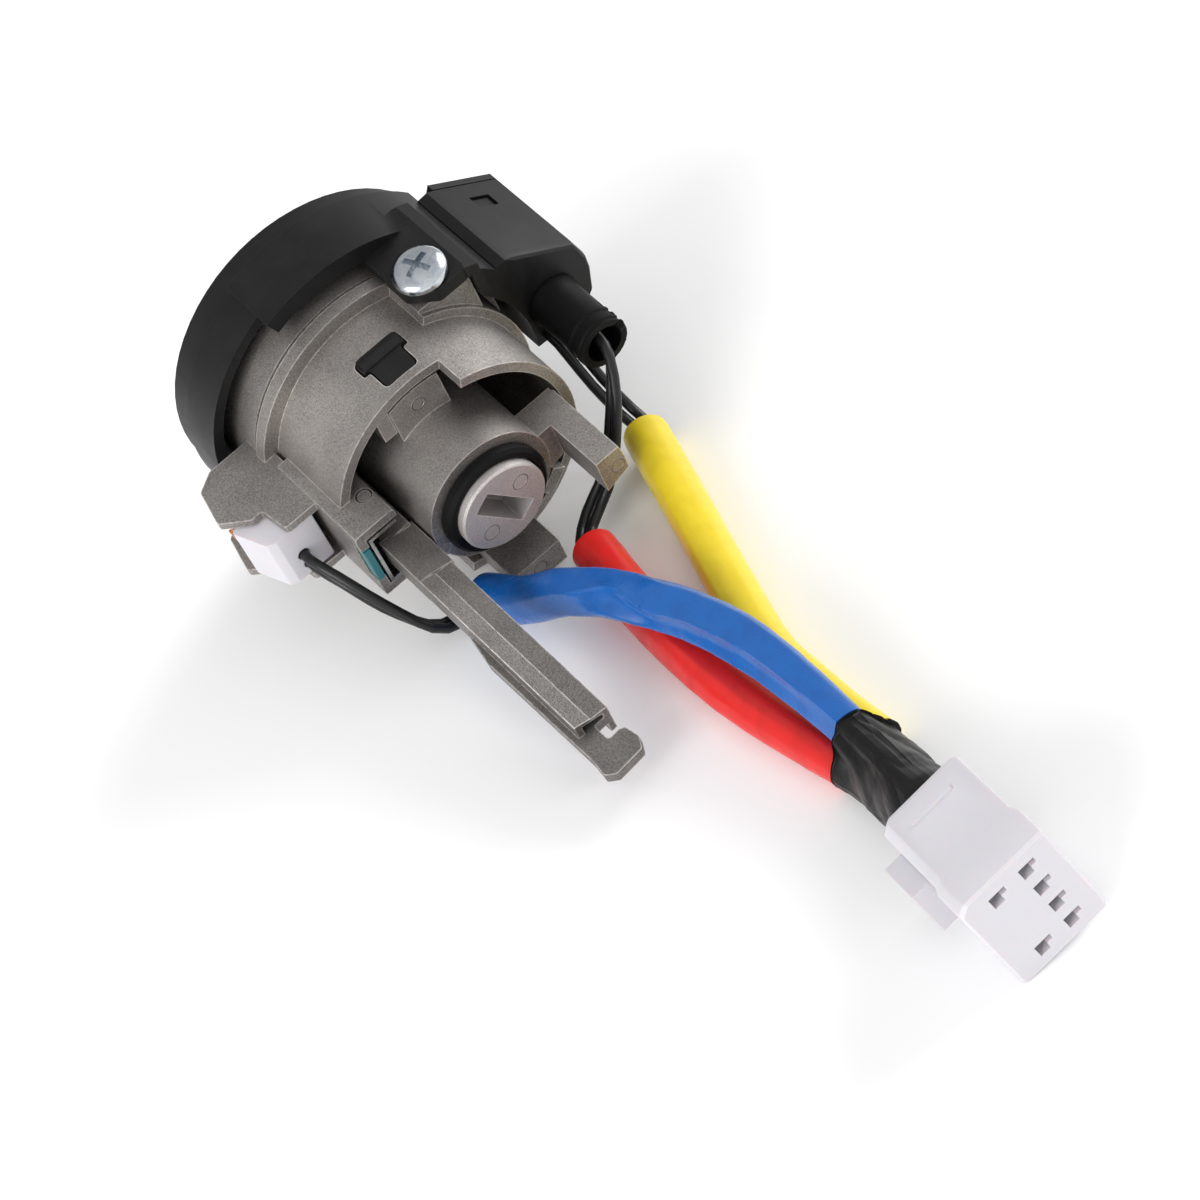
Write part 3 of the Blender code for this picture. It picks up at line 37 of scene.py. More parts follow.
WIRE_R = 0.0009
SLEEVE_R = 0.0041
SLEEVE_TAPED_R = 0.0033
SLEEVE_WALL = 0.00045
NARROW_FROM_X = 0.0500
TAPE_START_X = 0.0798
TOUCH = 0.0003

FLAT_ANGLE = 1.25  # how much of a sleeve's round each flat beside its ridge takes, in radians
TAPE_TURN = 0.0085  # how far the tape moves on with each turn
SHARP_EDGE = math.radians(50)  # an edge of the harness that bends more than this stays sharp

WINDOW_STRENGTH = 2.2
WINDOW_SPREAD = 42.0  # how wide the light of a window is, in degrees


def from_lock(point):
    """A point of the lock's own frame in the row's frame."""
    tipped = Matrix.Rotation(TILT, 4, "Y") @ Vector(point)
    return tipped + Vector((0.0, 0.0, LIFT)) + SHIFT


# Camera, lights and floor


def make_camera(place=(0.483716, -0.107068, 0.432188), azimuth=77.026, elevation=41.958,
                roll=-32.164):
    around, up, lean = (math.radians(a) for a in (azimuth, elevation, roll))
    back = Vector((math.sin(around) * math.cos(up), -math.cos(around) * math.cos(up), math.sin(up)))
    level = Vector((math.cos(around), math.sin(around), 0.0))
    upright = back.cross(level)
    right = level * math.cos(lean) + upright * math.sin(lean)
    camera = bpy.data.objects.new("camera", bpy.data.cameras.new("camera"))
    bpy.context.scene.collection.objects.link(camera)
    turn = Matrix((right, back.cross(right), back)).transposed().to_4x4()
    camera.matrix_world = Matrix.Translation(place) @ turn
    camera.data.sensor_width = 36.0
    camera.data.lens = 117.0
    camera.data.clip_start = 0.02
    bpy.context.scene.camera = camera


def soft_sun(name, way):
    """A wide window far away, so that the floor is lit evenly; way points from the part to it."""
    light = bpy.data.lights.new(name, "SUN")
    light.energy = WINDOW_STRENGTH
    light.angle = math.radians(WINDOW_SPREAD)
    lamp = bpy.data.objects.new(name, light)
    lamp.rotation_euler = Vector(way).to_track_quat("Z", "Y").to_euler()
    bpy.context.scene.collection.objects.link(lamp)


def make_studio(strength_behind=0.54, strength_in_front=0.95):
    """Two windows and a white backdrop, which is dimmer on the key's side of the part."""
    soft_sun("window_left", (0.28, -0.72, 0.34))
    soft_sun("window_right", (-0.08, 0.78, 0.32))
    scene = bpy.context.scene
    scene.view_settings.view_transform = "Standard"
    world = bpy.data.worlds.new("studio")
    scene.world = world
    world.use_nodes = True
    tree = world.node_tree
    way = tree.nodes.new("ShaderNodeTexCoord").outputs["Generated"]
    towards_front = vector_node(tree, "DOT_PRODUCT", way, (0.95, -0.15, 0.25))
    backdrop = tree.nodes["Background"]
    backdrop.inputs["Color"].default_value = (1.0, 1.0, 1.0, 1.0)
    graded = step_node(tree, towards_front, -0.6, 0.9, strength_behind, strength_in_front)
    tree.links.new(graded, backdrop.inputs["Strength"])


def make_floor(side=3.0):
    mesh = bpy.data.meshes.new("floor")
    corners = [(-side, -side, 0), (side, -side, 0), (side, side, 0), (-side, side, 0)]
    mesh.from_pydata(corners, [], [(0, 1, 2, 3)])
    floor = bpy.data.objects.new("floor", mesh)
    bpy.context.scene.collection.objects.link(floor)
    paper = bpy.data.materials.new("pale_paper")
    paper.use_nodes = True
    skin = paper.node_tree.nodes["Principled BSDF"]
    skin.inputs["Base Color"].default_value = (0.93, 0.93, 0.93, 1.0)
    skin.inputs["Roughness"].default_value = 0.9
    mesh.materials.append(paper)


# Shader groups


def shader_group(name, inputs, outputs):
    """A node group with inputs of (name, kind, value) and outputs of (name, kind)."""
    tree = bpy.data.node_groups.new(name, "ShaderNodeTree")
    new_socket = tree.interface.new_socket
    for label, kind, value in inputs:
        socket = new_socket(name=label, in_out="INPUT", socket_type=f"NodeSocket{kind}")
        socket.default_value = value
    for label, kind in outputs:
        new_socket(name=label, in_out="OUTPUT", socket_type=f"NodeSocket{kind}")
    given = tree.nodes.new("NodeGroupInput")
    made = tree.nodes.new("NodeGroupOutput")
    return tree, given.outputs, made.inputs


def wire_up(tree, value, socket):
    """Set a socket from another socket, or from a plain value."""
    if isinstance(value, bpy.types.NodeSocket):
        tree.links.new(value, socket)
    else:
        socket.default_value = value


def math_node(tree, kind, a, b=0.0, c=0.0, clamp=False):
    """One sum; MULTIPLY_ADD is a * b + c."""
    node = tree.nodes.new("ShaderNodeMath")
    node.operation = kind
    node.use_clamp = clamp
    for value, socket in zip((a, b, c), node.inputs):
        wire_up(tree, value, socket)
    return node.outputs[0]


def vector_node(tree, kind, a, b=(0.0, 0.0, 0.0)):
    node = tree.nodes.new("ShaderNodeVectorMath")
    node.operation = kind
    wire_up(tree, a, node.inputs[0])
    wire_up(tree, b, node.inputs[1])
    return node.outputs["Value"] if kind in ("DOT_PRODUCT", "LENGTH") else node.outputs["Vector"]


def noise_node(tree, place, scale, detail=3.0, rough=0.55, warp=0.0):
    node = tree.nodes.new("ShaderNodeTexNoise")
    wire_up(tree, place, node.inputs["Vector"])
    wire_up(tree, scale, node.inputs["Scale"])
    node.inputs["Detail"].default_value = detail
    node.inputs["Roughness"].default_value = rough
    node.inputs["Distortion"].default_value = warp
    return node.outputs["Fac"]


def step_node(tree, value, low, high, to_low=0.0, to_high=1.0):
    """Eases from to_low to to_high as the value goes from low to high."""
    node = tree.nodes.new("ShaderNodeMapRange")
    node.interpolation_type = "SMOOTHSTEP"
    for socket, number in zip(node.inputs, (value, low, high, to_low, to_high)):
        wire_up(tree, number, socket)
    return node.outputs["Result"]


def mix_node(tree, amount, a, b, kind="MIX"):
    node = tree.nodes.new("ShaderNodeMix")
    node.data_type = "RGBA"
    node.blend_type = kind
    wire_up(tree, amount, node.inputs["Factor"])
    wire_up(tree, a, node.inputs["A"])
    wire_up(tree, b, node.inputs["B"])
    return node.outputs["Result"]


def place_of(tree):
    return tree.nodes.new("ShaderNodeTexCoord").outputs["Object"]


def wear_and_highlight_group():
    """Where an outer edge is rubbed, and where a highlight is painted along it: Mask is 1 on the edge and
    breaks up along it.
    """
    tree, given, made = shader_group(
        "edge_wear_and_highlight",
        [("Width", "Float", 0.0003), ("Breakup", "Float", 900.0), ("Amount", "Float", 1.0)],
        [("Mask", "Float")])
    place = place_of(tree)
    rounded = tree.nodes.new("ShaderNodeBevel")
    rounded.samples = 6
    wire_up(tree, given["Width"], rounded.inputs["Radius"])
    flat = tree.nodes.new("ShaderNodeNewGeometry")
    turn = vector_node(tree, "DOT_PRODUCT", rounded.outputs["Normal"], flat.outputs["Normal"])
    bent = step_node(tree, math_node(tree, "SUBTRACT", 1.0, turn), 0.01, 0.12)
    patchy = step_node(tree, noise_node(tree, place, given["Breakup"]), 0.30, 0.55, 0.25, 1.0)
    # rubbed wear of the edges, and the painted highlight along them
    rubbed = math_node(tree, "MULTIPLY", bent, patchy)
    wire_up(tree, math_node(tree, "MULTIPLY", rubbed, given["Amount"], clamp=True), made["Mask"])
    return tree


def cast_skin_group():
    """Die-cast zinc: fine grain, flow patches and dark pores."""
    tree, given, made = shader_group(
        "cast_skin",
        [("Light", "Color", (0.4, 0.37, 0.33, 1)), ("Dark", "Color", (0.15, 0.14, 0.12, 1)),
         ("Grain", "Float", 6500.0), ("Patch", "Float", 90.0)],
        [("Color", "Color"), ("Roughness", "Float"), ("Height", "Float")])
    place = place_of(tree)
    patch = step_node(tree, noise_node(tree, place, given["Patch"], 4.0, 0.6, 0.6), 0.30, 0.72)
    grain = noise_node(tree, place, given["Grain"], 2.0, 0.7)
    coarse = noise_node(tree, place, math_node(tree, "MULTIPLY", given["Grain"], 0.45), 2.0, 0.6)
    coarse_share = math_node(tree, "MULTIPLY", coarse, 0.4)
    speck = step_node(tree, math_node(tree, "MULTIPLY_ADD", grain, 0.6, coarse_share), 0.36, 0.64)
    speck_share = math_node(tree, "MULTIPLY", speck, 0.74)
    amount = math_node(tree, "MULTIPLY_ADD", patch, 0.26, speck_share, clamp=True)
    wire_up(tree, mix_node(tree, amount, given["Dark"], given["Light"]), made["Color"])
    wire_up(tree, step_node(tree, speck, 0.0, 1.0, 0.52, 0.34), made["Roughness"])
    wire_up(tree, speck, made["Height"])
    return tree


def moulded_skin_group():
    """Moulded plastic or rubber: spark-eroded grain, faint dull patches and small scuffs."""
    tree, given, made = shader_group(
        "moulded_skin",
        [("Color", "Color", (0.02, 0.02, 0.02, 1)), ("Scuff", "Color", (0.08, 0.08, 0.08, 1)),
         ("Grain", "Float", 4200.0), ("Dull", "Float", 0.5), ("Shine", "Float", 0.4),
         ("Wear", "Float", 0.3)],
        [("Color", "Color"), ("Roughness", "Float"), ("Height", "Float")])
    place = place_of(tree)
    grain = noise_node(tree, place, given["Grain"], 2.0, 0.6)
    patch = step_node(tree, noise_node(tree, place, 130.0, 4.0, 0.6, 0.4), 0.35, 0.7)
    streak = step_node(tree, noise_node(tree, place, 700.0, 5.0, 0.7, 1.2), 0.60, 0.72)
    worn = math_node(tree, "MULTIPLY", math_node(tree, "MULTIPLY", streak, patch), given["Wear"])
    tint = math_node(tree, "MULTIPLY_ADD", grain, 0.20, math_node(tree, "MULTIPLY", patch, 0.12))
    scuffed = math_node(tree, "ADD", worn, tint, clamp=True)
    wire_up(tree, mix_node(tree, scuffed, given["Color"], given["Scuff"]), made["Color"])
    blend = math_node(tree, "MULTIPLY", patch, math_node(tree, "SUBTRACT", given["Dull"], given["Shine"]))
    wire_up(tree, math_node(tree, "ADD", given["Shine"], blend), made["Roughness"])
    wire_up(tree, grain, made["Height"])
    return tree


def round_mark_group():
    """The round mark that an ejector pin leaves: Mask is 1 on its rim and Dish is 1 inside it."""
    tree, given, made = shader_group(
        "round_mark",
        [("Centre", "Vector", (0.0, 0.0, 0.0)), ("Radius", "Float", 0.0015),
         ("Line", "Float", 0.00018)],
        [("Mask", "Float"), ("Dish", "Float")])
    from_centre = vector_node(tree, "SUBTRACT", place_of(tree), given["Centre"])
    away = vector_node(tree, "LENGTH", from_centre)
    off = math_node(tree, "ABSOLUTE", math_node(tree, "SUBTRACT", away, given["Radius"]))
    lines_off = math_node(tree, "DIVIDE", off, given["Line"])
    wire_up(tree, math_node(tree, "SUBTRACT", 1.0, lines_off, clamp=True), made["Mask"])
    inside = math_node(tree, "SUBTRACT", given["Radius"], away)
    wire_up(tree, step_node(tree, inside, 0.0, 0.00012), made["Dish"])
    return tree


def crumple_group():
    """Creases of thin vinyl: Height folds sharply."""
    tree, given, made = shader_group(
        "crumple",
        [("Scale", "Float", 260.0), ("Stretch", "Vector", (1.0, 1.0, 1.0))],
        [("Height", "Float")])
    place = vector_node(tree, "MULTIPLY", place_of(tree), given["Stretch"])
    cells = tree.nodes.new("ShaderNodeTexVoronoi")
    cells.feature = "DISTANCE_TO_EDGE"
    bend = tree.nodes.new("ShaderNodeTexNoise")
    wire_up(tree, place, bend.inputs["Vector"])
    wire_up(tree, given["Scale"], bend.inputs["Scale"])
    nudged = vector_node(tree, "SCALE", bend.outputs["Color"])
    nudged.node.inputs["Scale"].default_value = 0.004
    wire_up(tree, vector_node(tree, "ADD", place, nudged), cells.inputs["Vector"])
    wire_up(tree, given["Scale"], cells.inputs["Scale"])
    fold = step_node(tree, cells.outputs["Distance"], 0.0, 0.22)
    soft = noise_node(tree, place, given["Scale"], 4.0, 0.6, 0.8)
    wire_up(tree, math_node(tree, "MULTIPLY_ADD", fold, 0.5, soft), made["Height"])
    return tree


GROUPS = {}


def make_groups():
    makers = (wear_and_highlight_group, cast_skin_group, moulded_skin_group, round_mark_group, crumple_group)
    for maker in makers:
        tree = maker()
        GROUPS[tree.name] = tree


# Materials


class Finish:
    """A material under construction, with its Principled shader."""

    def __init__(self, name, roughness=0.5, metallic=0.0):
        self.material = bpy.data.materials.new(name)
        self.material.use_nodes = True
        self.tree = self.material.node_tree
        self.skin = self.tree.nodes["Principled BSDF"]
        self.set(Roughness=roughness, Metallic=metallic)

    def set(self, **values):
        for name, value in values.items():
            wire_up(self.tree, value, self.skin.inputs[name.replace("_", " ")])
        return self

    def group(self, name, **values):
        """One of the shader groups, with its inputs set."""
        node = self.tree.nodes.new("ShaderNodeGroup")
        node.node_tree = GROUPS[name]
        for label, value in values.items():
            wire_up(self.tree, value, node.inputs[label])
        return node.outputs

    def bump(self, height, depth, strength=1.0):
        """Raise the skin by up to depth where height is 1, on top of any earlier bump."""
        node = self.tree.nodes.new("ShaderNodeBump")
        node.inputs["Distance"].default_value = depth
        node.inputs["Strength"].default_value = strength
        wire_up(self.tree, height, node.inputs["Height"])
        before = self.skin.inputs["Normal"].links
        if before:
            self.tree.links.new(before[0].from_socket, node.inputs["Normal"])
        self.tree.links.new(node.outputs["Normal"], self.skin.inputs["Normal"])
        return self


def marks_height(finish, centres, radius):
    """Rims and dishes of several ejector pin marks, added up."""
    rim, dish = 0.0, 0.0
    for centre in centres:
        mark = finish.group("round_mark", Centre=centre, Radius=radius)
        rim = math_node(finish.tree, "MAXIMUM", rim, mark["Mask"])
        dish = math_node(finish.tree, "MAXIMUM", dish, mark["Dish"])
    return rim, dish


# colour of the zinc's edges: partly rubbed metal, partly a painted highlight
WORN_AND_HIGHLIT_ZINC = (0.82, 0.77, 0.73, 1.0)
ZINC_MARK_RIM = (0.10, 0.09, 0.08, 1.0)


def zinc_casting(name, light, dark, marks=(), mark_r=0.0013, metal=0.85):
    """Cast zinc with bright edges, partly rubbed wear and partly a painted highlight, and the ejector pin
    marks at the given centres.
    """
    finish = Finish(name, metallic=metal)
    skin = finish.group("cast_skin", Light=light, Dark=dark)
    edge = finish.group("edge_wear_and_highlight", Width=0.00042, Breakup=1100.0, Amount=1.0)["Mask"]
    # the edges are painted bright: their wear and a painted highlight along them
    colour = mix_node(finish.tree, edge, skin["Color"], WORN_AND_HIGHLIT_ZINC)
    rough = mix_rough(finish.tree, edge, skin["Roughness"], 0.30)
    finish.bump(skin["Height"], 0.00003, 0.8)
    if marks:
        rim, dish = marks_height(finish, marks, mark_r)
        # the rim line of each pin mark is coloured darker
        rim_darker = math_node(finish.tree, "MULTIPLY", rim, 0.65)
        colour = mix_node(finish.tree, rim_darker, colour, ZINC_MARK_RIM)
        finish.bump(math_node(finish.tree, "SUBTRACT", rim, dish), 0.00014)
    finish.set(Base_Color=colour, Roughness=rough)
    return finish.material


def mix_rough(tree, amount, a, b):
    node = tree.nodes.new("ShaderNodeMix")
    wire_up(tree, amount, node.inputs["Factor"])
    wire_up(tree, a, node.inputs["A"])
    wire_up(tree, b, node.inputs["B"])
    return node.outputs["Result"]


def moulded(name, colour, scuff_and_highlight, dull=0.5, shine=0.4, grain=4200.0, depth=0.00002, wear=0.3,
            rub=0.5):
    """Moulded plastic or rubber: its roughness goes from shine to dull, rub is the wear of its edges and
    the painted highlight along them.
    """
    finish = Finish(name)
    skin = finish.group("moulded_skin", Color=colour, Scuff=scuff_and_highlight, Grain=grain, Dull=dull,
                        Shine=shine, Wear=wear)
    edge = finish.group("edge_wear_and_highlight", Width=0.0003, Breakup=600.0, Amount=rub)["Mask"]
    # the edges take the scuff colour: their wear and a painted highlight along them
    finish.set(Base_Color=mix_node(finish.tree, edge, skin["Color"], scuff_and_highlight),
               Roughness=skin["Roughness"])
    finish.bump(skin["Height"], depth, 0.7)
    return finish


def vinyl(name, colour, deep, crease=0.00012, scale=150.0, shine=0.28, gloss=0.34):
    """Soft extruded vinyl with faint creases and cloudy colour."""
    finish = Finish(name, roughness=shine)
    folds = finish.group("crumple", Scale=scale, Stretch=(0.35, 1.0, 1.0))
    cloud = noise_node(finish.tree, place_of(finish.tree), 240.0, 3.0, 0.5, 0.5)
    deeper = step_node(finish.tree, cloud, 0.35, 0.75, 0.0, 0.45)
    finish.set(Base_Color=mix_node(finish.tree, deeper, colour, deep),
               Roughness=step_node(finish.tree, cloud, 0.3, 0.7, shine, shine + 0.12))
    finish.set(Specular_IOR_Level=gloss, Coat_Weight=0.3 * gloss, Coat_Roughness=0.2,
               Subsurface_Weight=0.06, Subsurface_Scale=0.001)
    finish.bump(folds["Height"], crease, 0.6)
    return finish.material


def plated(name, colour, dark, rough=0.2):
    """Zinc-plated or bright drawn steel, with a clouded bluish film."""
    finish = Finish(name, roughness=rough, metallic=1.0)
    place = place_of(finish.tree)
    film = step_node(finish.tree, noise_node(finish.tree, place, 420.0, 4.0, 0.6, 0.8), 0.35, 0.7)
    fine = noise_node(finish.tree, place, 2600.0, 3.0, 0.6)
    finish.set(Base_Color=mix_node(finish.tree, film, colour, dark),
               Roughness=step_node(finish.tree, fine, 0.3, 0.7, rough, rough + 0.14))
    finish.bump(fine, 0.00001, 0.5)
    return finish.material


def make_finishes(tail_mark_at=0.0050):
    tail_marks = [from_lock((0.0, tail_mark_at * math.cos(a), tail_mark_at * math.sin(a)))
                  for a in (math.radians(31), math.radians(-144))]
    inner_marks = [from_lock((-0.0155, -0.0004, 0.0160)), from_lock((0.0084, 0.0180, -0.0002)),
                   from_lock((0.0016, 0.0, -0.0172))]
    zinc_light, zinc_dark = (0.46, 0.428, 0.405, 1.0), (0.150, 0.139, 0.131, 1.0)
    looks = {
        "zinc": zinc_casting("grey_zinc_casting", zinc_light, zinc_dark),
        "zinc_inner": zinc_casting("inner_zinc_casting", zinc_light, zinc_dark, inner_marks),
        # the lever is the same zinc casting painted darker: a painted shade on the lever
        "lever_zinc_painted_shade": zinc_casting("shaded_lever_zinc", (0.31, 0.289, 0.273, 1.0),
                                   (0.102, 0.094, 0.089, 1.0)),
        "zinc_bright": zinc_casting("bright_zinc_casting", (0.56, 0.525, 0.515, 1.0),
                                    (0.36, 0.335, 0.33, 1.0), tail_marks, mark_r=0.0015, metal=0.5),
        "steel": plated("bright_pressed_steel", (0.55, 0.54, 0.52, 1.0), (0.38, 0.38, 0.38, 1.0)),
        "plated_steel": plated("zinc_plated_steel", (0.58, 0.61, 0.64, 1.0), (0.42, 0.46, 0.51, 1.0),
                               rough=0.13),
        "brass": plated("stamped_brass", (0.72, 0.52, 0.24, 1.0), (0.50, 0.34, 0.15, 1.0), rough=0.25),
        "copper": plated("orange_copper_strip", (0.85, 0.40, 0.20, 1.0), (0.62, 0.25, 0.11, 1.0),
                         rough=0.28),
    }
    moulds = {
        "black_plastic": moulded("black_moulded_plastic", (0.004, 0.004, 0.0042, 1.0),
                                 (0.026, 0.026, 0.027, 1.0)).set(Specular_IOR_Level=0.22),
        "black_rubber": moulded("black_rubber", (0.003, 0.003, 0.003, 1.0), (0.014, 0.014, 0.014, 1.0),
                                dull=0.62, shine=0.45, grain=2600.0, depth=0.00003, wear=0.5,
                                rub=0.3).set(Specular_IOR_Level=0.1),
        "board": moulded("green_board", (0.02, 0.10, 0.05, 1.0), (0.10, 0.30, 0.18, 1.0),
                         dull=0.4, shine=0.25),
        "teal_plastic": moulded("teal_plastic", (0.012, 0.12, 0.14, 1.0), (0.05, 0.22, 0.24, 1.0)),
        "white_plastic": moulded("white_nylon", (0.59, 0.577, 0.615, 1.0), (0.51, 0.50, 0.53, 1.0),
                                 dull=0.42, shine=0.3, grain=3000.0, depth=0.000012, wear=0.25,
                                 rub=0.0).set(Subsurface_Weight=0.25, Subsurface_Scale=0.002),
    }
    looks.update({slot: finish.material for slot, finish in moulds.items()})
    looks.update({
        "red_pvc": vinyl("red_vinyl", (0.62, 0.016, 0.013, 1.0), (0.45, 0.009, 0.010, 1.0)),
        "yellow_pvc": vinyl("yellow_vinyl", (0.78, 0.60, 0.028, 1.0), (0.68, 0.50, 0.018, 1.0)),
        "blue_pvc": vinyl("blue_vinyl", (0.006, 0.100, 0.37, 1.0), (0.004, 0.060, 0.26, 1.0),
                          scale=120.0, shine=0.22, gloss=0.45),
        "black_tape": vinyl("black_vinyl_tape", (0.010, 0.010, 0.010, 1.0), (0.004, 0.004, 0.004, 1.0),
                            crease=0.0001, scale=110.0, shine=0.32, gloss=0.12),
        "black_wire": vinyl("black_wire_skin", (0.010, 0.010, 0.011, 1.0), (0.005, 0.005, 0.005, 1.0),
                            crease=0.00003, scale=400.0, shine=0.3, gloss=0.3),
    })
    return looks


# Harness


def smooth_line(route, spacing):
    """Points along a smooth curve through the route."""
    ends = [Vector(p) for p in route]
    knots = [2 * ends[0] - ends[1], *ends, 2 * ends[-1] - ends[-2]]
    points = []
    for a, b, c, d in zip(knots, knots[1:], knots[2:], knots[3:]):
        steps = max(1, round((c - b).length / spacing))
        for i in range(steps):
            t = i / steps
            points.append(0.5 * (2 * b + (c - a) * t + (2 * a - 5 * b + 4 * c - d) * t ** 2
                                 + (3 * b - a - 3 * c + d) * t ** 3))
    return [*points, ends[-1]]


def length_of(points):
    return sum((b - a).length for a, b in zip(points, points[1:]))


SLEEVES = {
    "red": [(0.0795, 0.0056, 0.0037), (0.0700, 0.0047, 0.0039), (0.0600, 0.0040, 0.0042),
            (0.0500, 0.0038, 0.0042), (0.0360, 0.0040, 0.0042), (0.0200, 0.0055, 0.0042),
            (0.0050, 0.0078, 0.0042)],
    "yellow": [(0.0795, 0.0126, 0.0037), (0.0700, 0.0122, 0.0039), (0.0600, 0.0122, 0.0042),
               (0.0500, 0.0127, 0.0042), (0.0331, 0.0172, 0.0042), (0.0160, 0.0222, 0.0042),
               (0.0030, 0.0260, 0.0042), (-0.0086, 0.0293, 0.0042)],
    "blue": [(0.0795, 0.0091, 0.0100), (0.0700, 0.0093, 0.0110), (0.0600, 0.0092, 0.0122),
             (0.0500, 0.0085, 0.0126), (0.0400, 0.0066, 0.0127), (0.0320, 0.0040, 0.0128),
             (0.0240, 0.0012, 0.0124), (0.0150, -0.0026, 0.0104), (0.0060, -0.0069, 0.0066),
             (-0.0032, -0.0104, 0.0048)],
}


def sleeve_line(colour, spacing=0.0008):
    return [p + SHIFT for p in smooth_line(SLEEVES[colour], spacing)]


def taped_share(point):
    """What is left of a sleeve's radius where the tape presses the three together."""
    t = (point.x - SHIFT.x - NARROW_FROM_X) / (TAPE_START_X - NARROW_FROM_X)
    return 1.0 - max(0.0, min(1.0, t)) * (1.0 - SLEEVE_TAPED_R / SLEEVE_R)


def frames_along(points):
    """For each point: the way along the line, and two ways across it that don't twist."""
    frames = []
    side = Vector((0.0, 1.0, 0.0))
    for i, _ in enumerate(points):
        along = (points[min(i + 1, len(points) - 1)] - points[max(i - 1, 0)]).normalized()
        side = (side - along * side.dot(along)).normalized()
        frames.append((along, side.copy(), along.cross(side)))
    return frames


def mesh_piece(name, rings):
    """A closed surface through rings of equal count, with both ends filled."""
    bm = bmesh.new()
    layers = [[bm.verts.new(p) for p in ring] for ring in rings]
    count = len(layers[0])
    for low, high in zip(layers, layers[1:]):
        for i in range(count):
            j = (i + 1) % count
            bm.faces.new((low[i], low[j], high[j], high[i]))
    bm.faces.new(list(reversed(layers[0])))
    bm.faces.new(layers[-1])
    bmesh.ops.recalc_face_normals(bm, faces=bm.faces)
    mesh = bpy.data.meshes.new(name)
    bm.to_mesh(mesh)
    bm.free()
    mesh.shade_smooth()
    mesh.set_sharp_from_angle(angle=SHARP_EDGE)
    piece = bpy.data.objects.new(name, mesh)
    bpy.context.scene.collection.objects.link(piece)
    return piece


def sleeve_piece(colour, squeeze, look, sides=72, hollow=0.018):
    """A sleeve that is open at its mouth, as deep as hollow."""
    points = sleeve_line(colour)
    frames = frames_along(points)
    total = length_of(points)
    rings, inner, run = [], [], 0.0
    for i, (place, (along, side, up)) in enumerate(zip(points, frames)):
        if i:
            run += (place - points[i - 1]).length
        wide, high, creased, ridge, flat = squeeze(run / total)
        radius = SLEEVE_R * taped_share(place)
        outer, bore = [], []
        for k in range(sides):
            a = math.tau * k / sides
            across = side * (math.cos(a) * wide) + up * (math.sin(a) * high)
            spot = place + across * radius
            ripple = 1.0 + 0.008 * noise.noise(spot * 260.0) - creased * crease_at(spot)
            ripple -= flat * beside_ridge(a - ridge)
            outer.append(place + across * radius * ripple)
            bore.append(place + across * (radius * ripple - SLEEVE_WALL))
        rings.append(outer)
        if total - run < hollow:
            inner.append(bore)
    rings[-1] = [p.lerp(points[-1], 0.02) for p in rings[-1]]  # the lip's outer edge, eased
    rings += list(reversed(inner))
    piece = mesh_piece(f"{colour}_vinyl_sleeve", rings)
    piece.data.materials.append(look)
    return piece, points


def crease_at(spot):
    """How deep a thin sleeve has creased, from 0 to 1: valleys with a sharp bottom."""
    valley = abs(noise.noise(spot * 130.0 + Vector((3.1, 0.7, 5.2))))
    return max(0.0, 1.0 - 3.2 * valley)


def bump_at(t, middle, width):
    """A smooth hump of height 1 at middle."""
    away = abs(t - middle) / width
    return 0.0 if away >= 1 else 0.5 + 0.5 * math.cos(math.pi * away)


def between(t, knots):
    """The value at t, eased from knot to knot; each knot is (t, value)."""
    for (start, low), (end, high) in zip(knots, knots[1:]):
        if t <= end:
            share = (t - start) / (end - start)
            return low + (high - low) * share * share * (3.0 - 2.0 * share)
    return knots[-1][1]


def beside_ridge(away):
    """How far a flattened sleeve sinks beside its ridge: below 0 on it, most in the lower flat."""
    away = math.remainder(away, math.tau) / FLAT_ANGLE
    if abs(away) >= 1.0:
        return 0.0
    deep = 1.3 if away < 0.0 else 0.75
    return deep * math.sin(math.pi * abs(away)) ** 0.8 - 0.25 * max(0.0, 1.0 - abs(away) * 5.0)


# Each sleeve's form at t, the share of its length from the tape to its mouth: its width and its height,
# both against its plain radius, the depth of its creases, the angle of its ridge, and the depth of the
# flats beside it.


def yellow_squeeze(t):
    return 1.0, 1.0, 0.01, -2.25, 0.05 * bump_at(t, 0.6, 0.45)


def red_squeeze(t):
    press = 0.06 * bump_at(t, 0.35, 0.3)
    return 1.0 + press, 1.0 - press, 0.01, -1.9, 0.06 * bump_at(t, 0.4, 0.4)


def blue_squeeze(t):
    press = 0.10 * bump_at(t, 0.30, 0.25) + 0.12 * bump_at(t, 0.60, 0.22)
    ridge = between(t, [(0.0, -2.0), (0.23, -2.11), (0.42, -2.29), (0.50, -2.41), (0.61, -1.82),
                        (0.72, -2.36), (1.0, -2.5)])
    flat = between(t, [(0.0, 0.12), (0.15, 0.22), (0.60, 0.24), (0.72, 0.15), (0.82, 0.03),
                       (1.0, 0.0)])
    return 1.0 + 0.4 * press, 1.0 - press, 0.02, ridge, flat


def into_mouth(colour, side, depth=0.0060, lead=0.0030):
    """The end of a wire's line: its last bend, the sleeve's mouth, and a point inside the sleeve."""
    end, before = Vector(SLEEVES[colour][-1]), Vector(SLEEVES[colour][-2])
    out = (end - before).normalized()
    across = Vector((-out.y, out.x, 0.0)).normalized()
    meet = end + out * 2 * TOUCH + across * side
    return [meet + out * lead, meet, meet - out * depth]


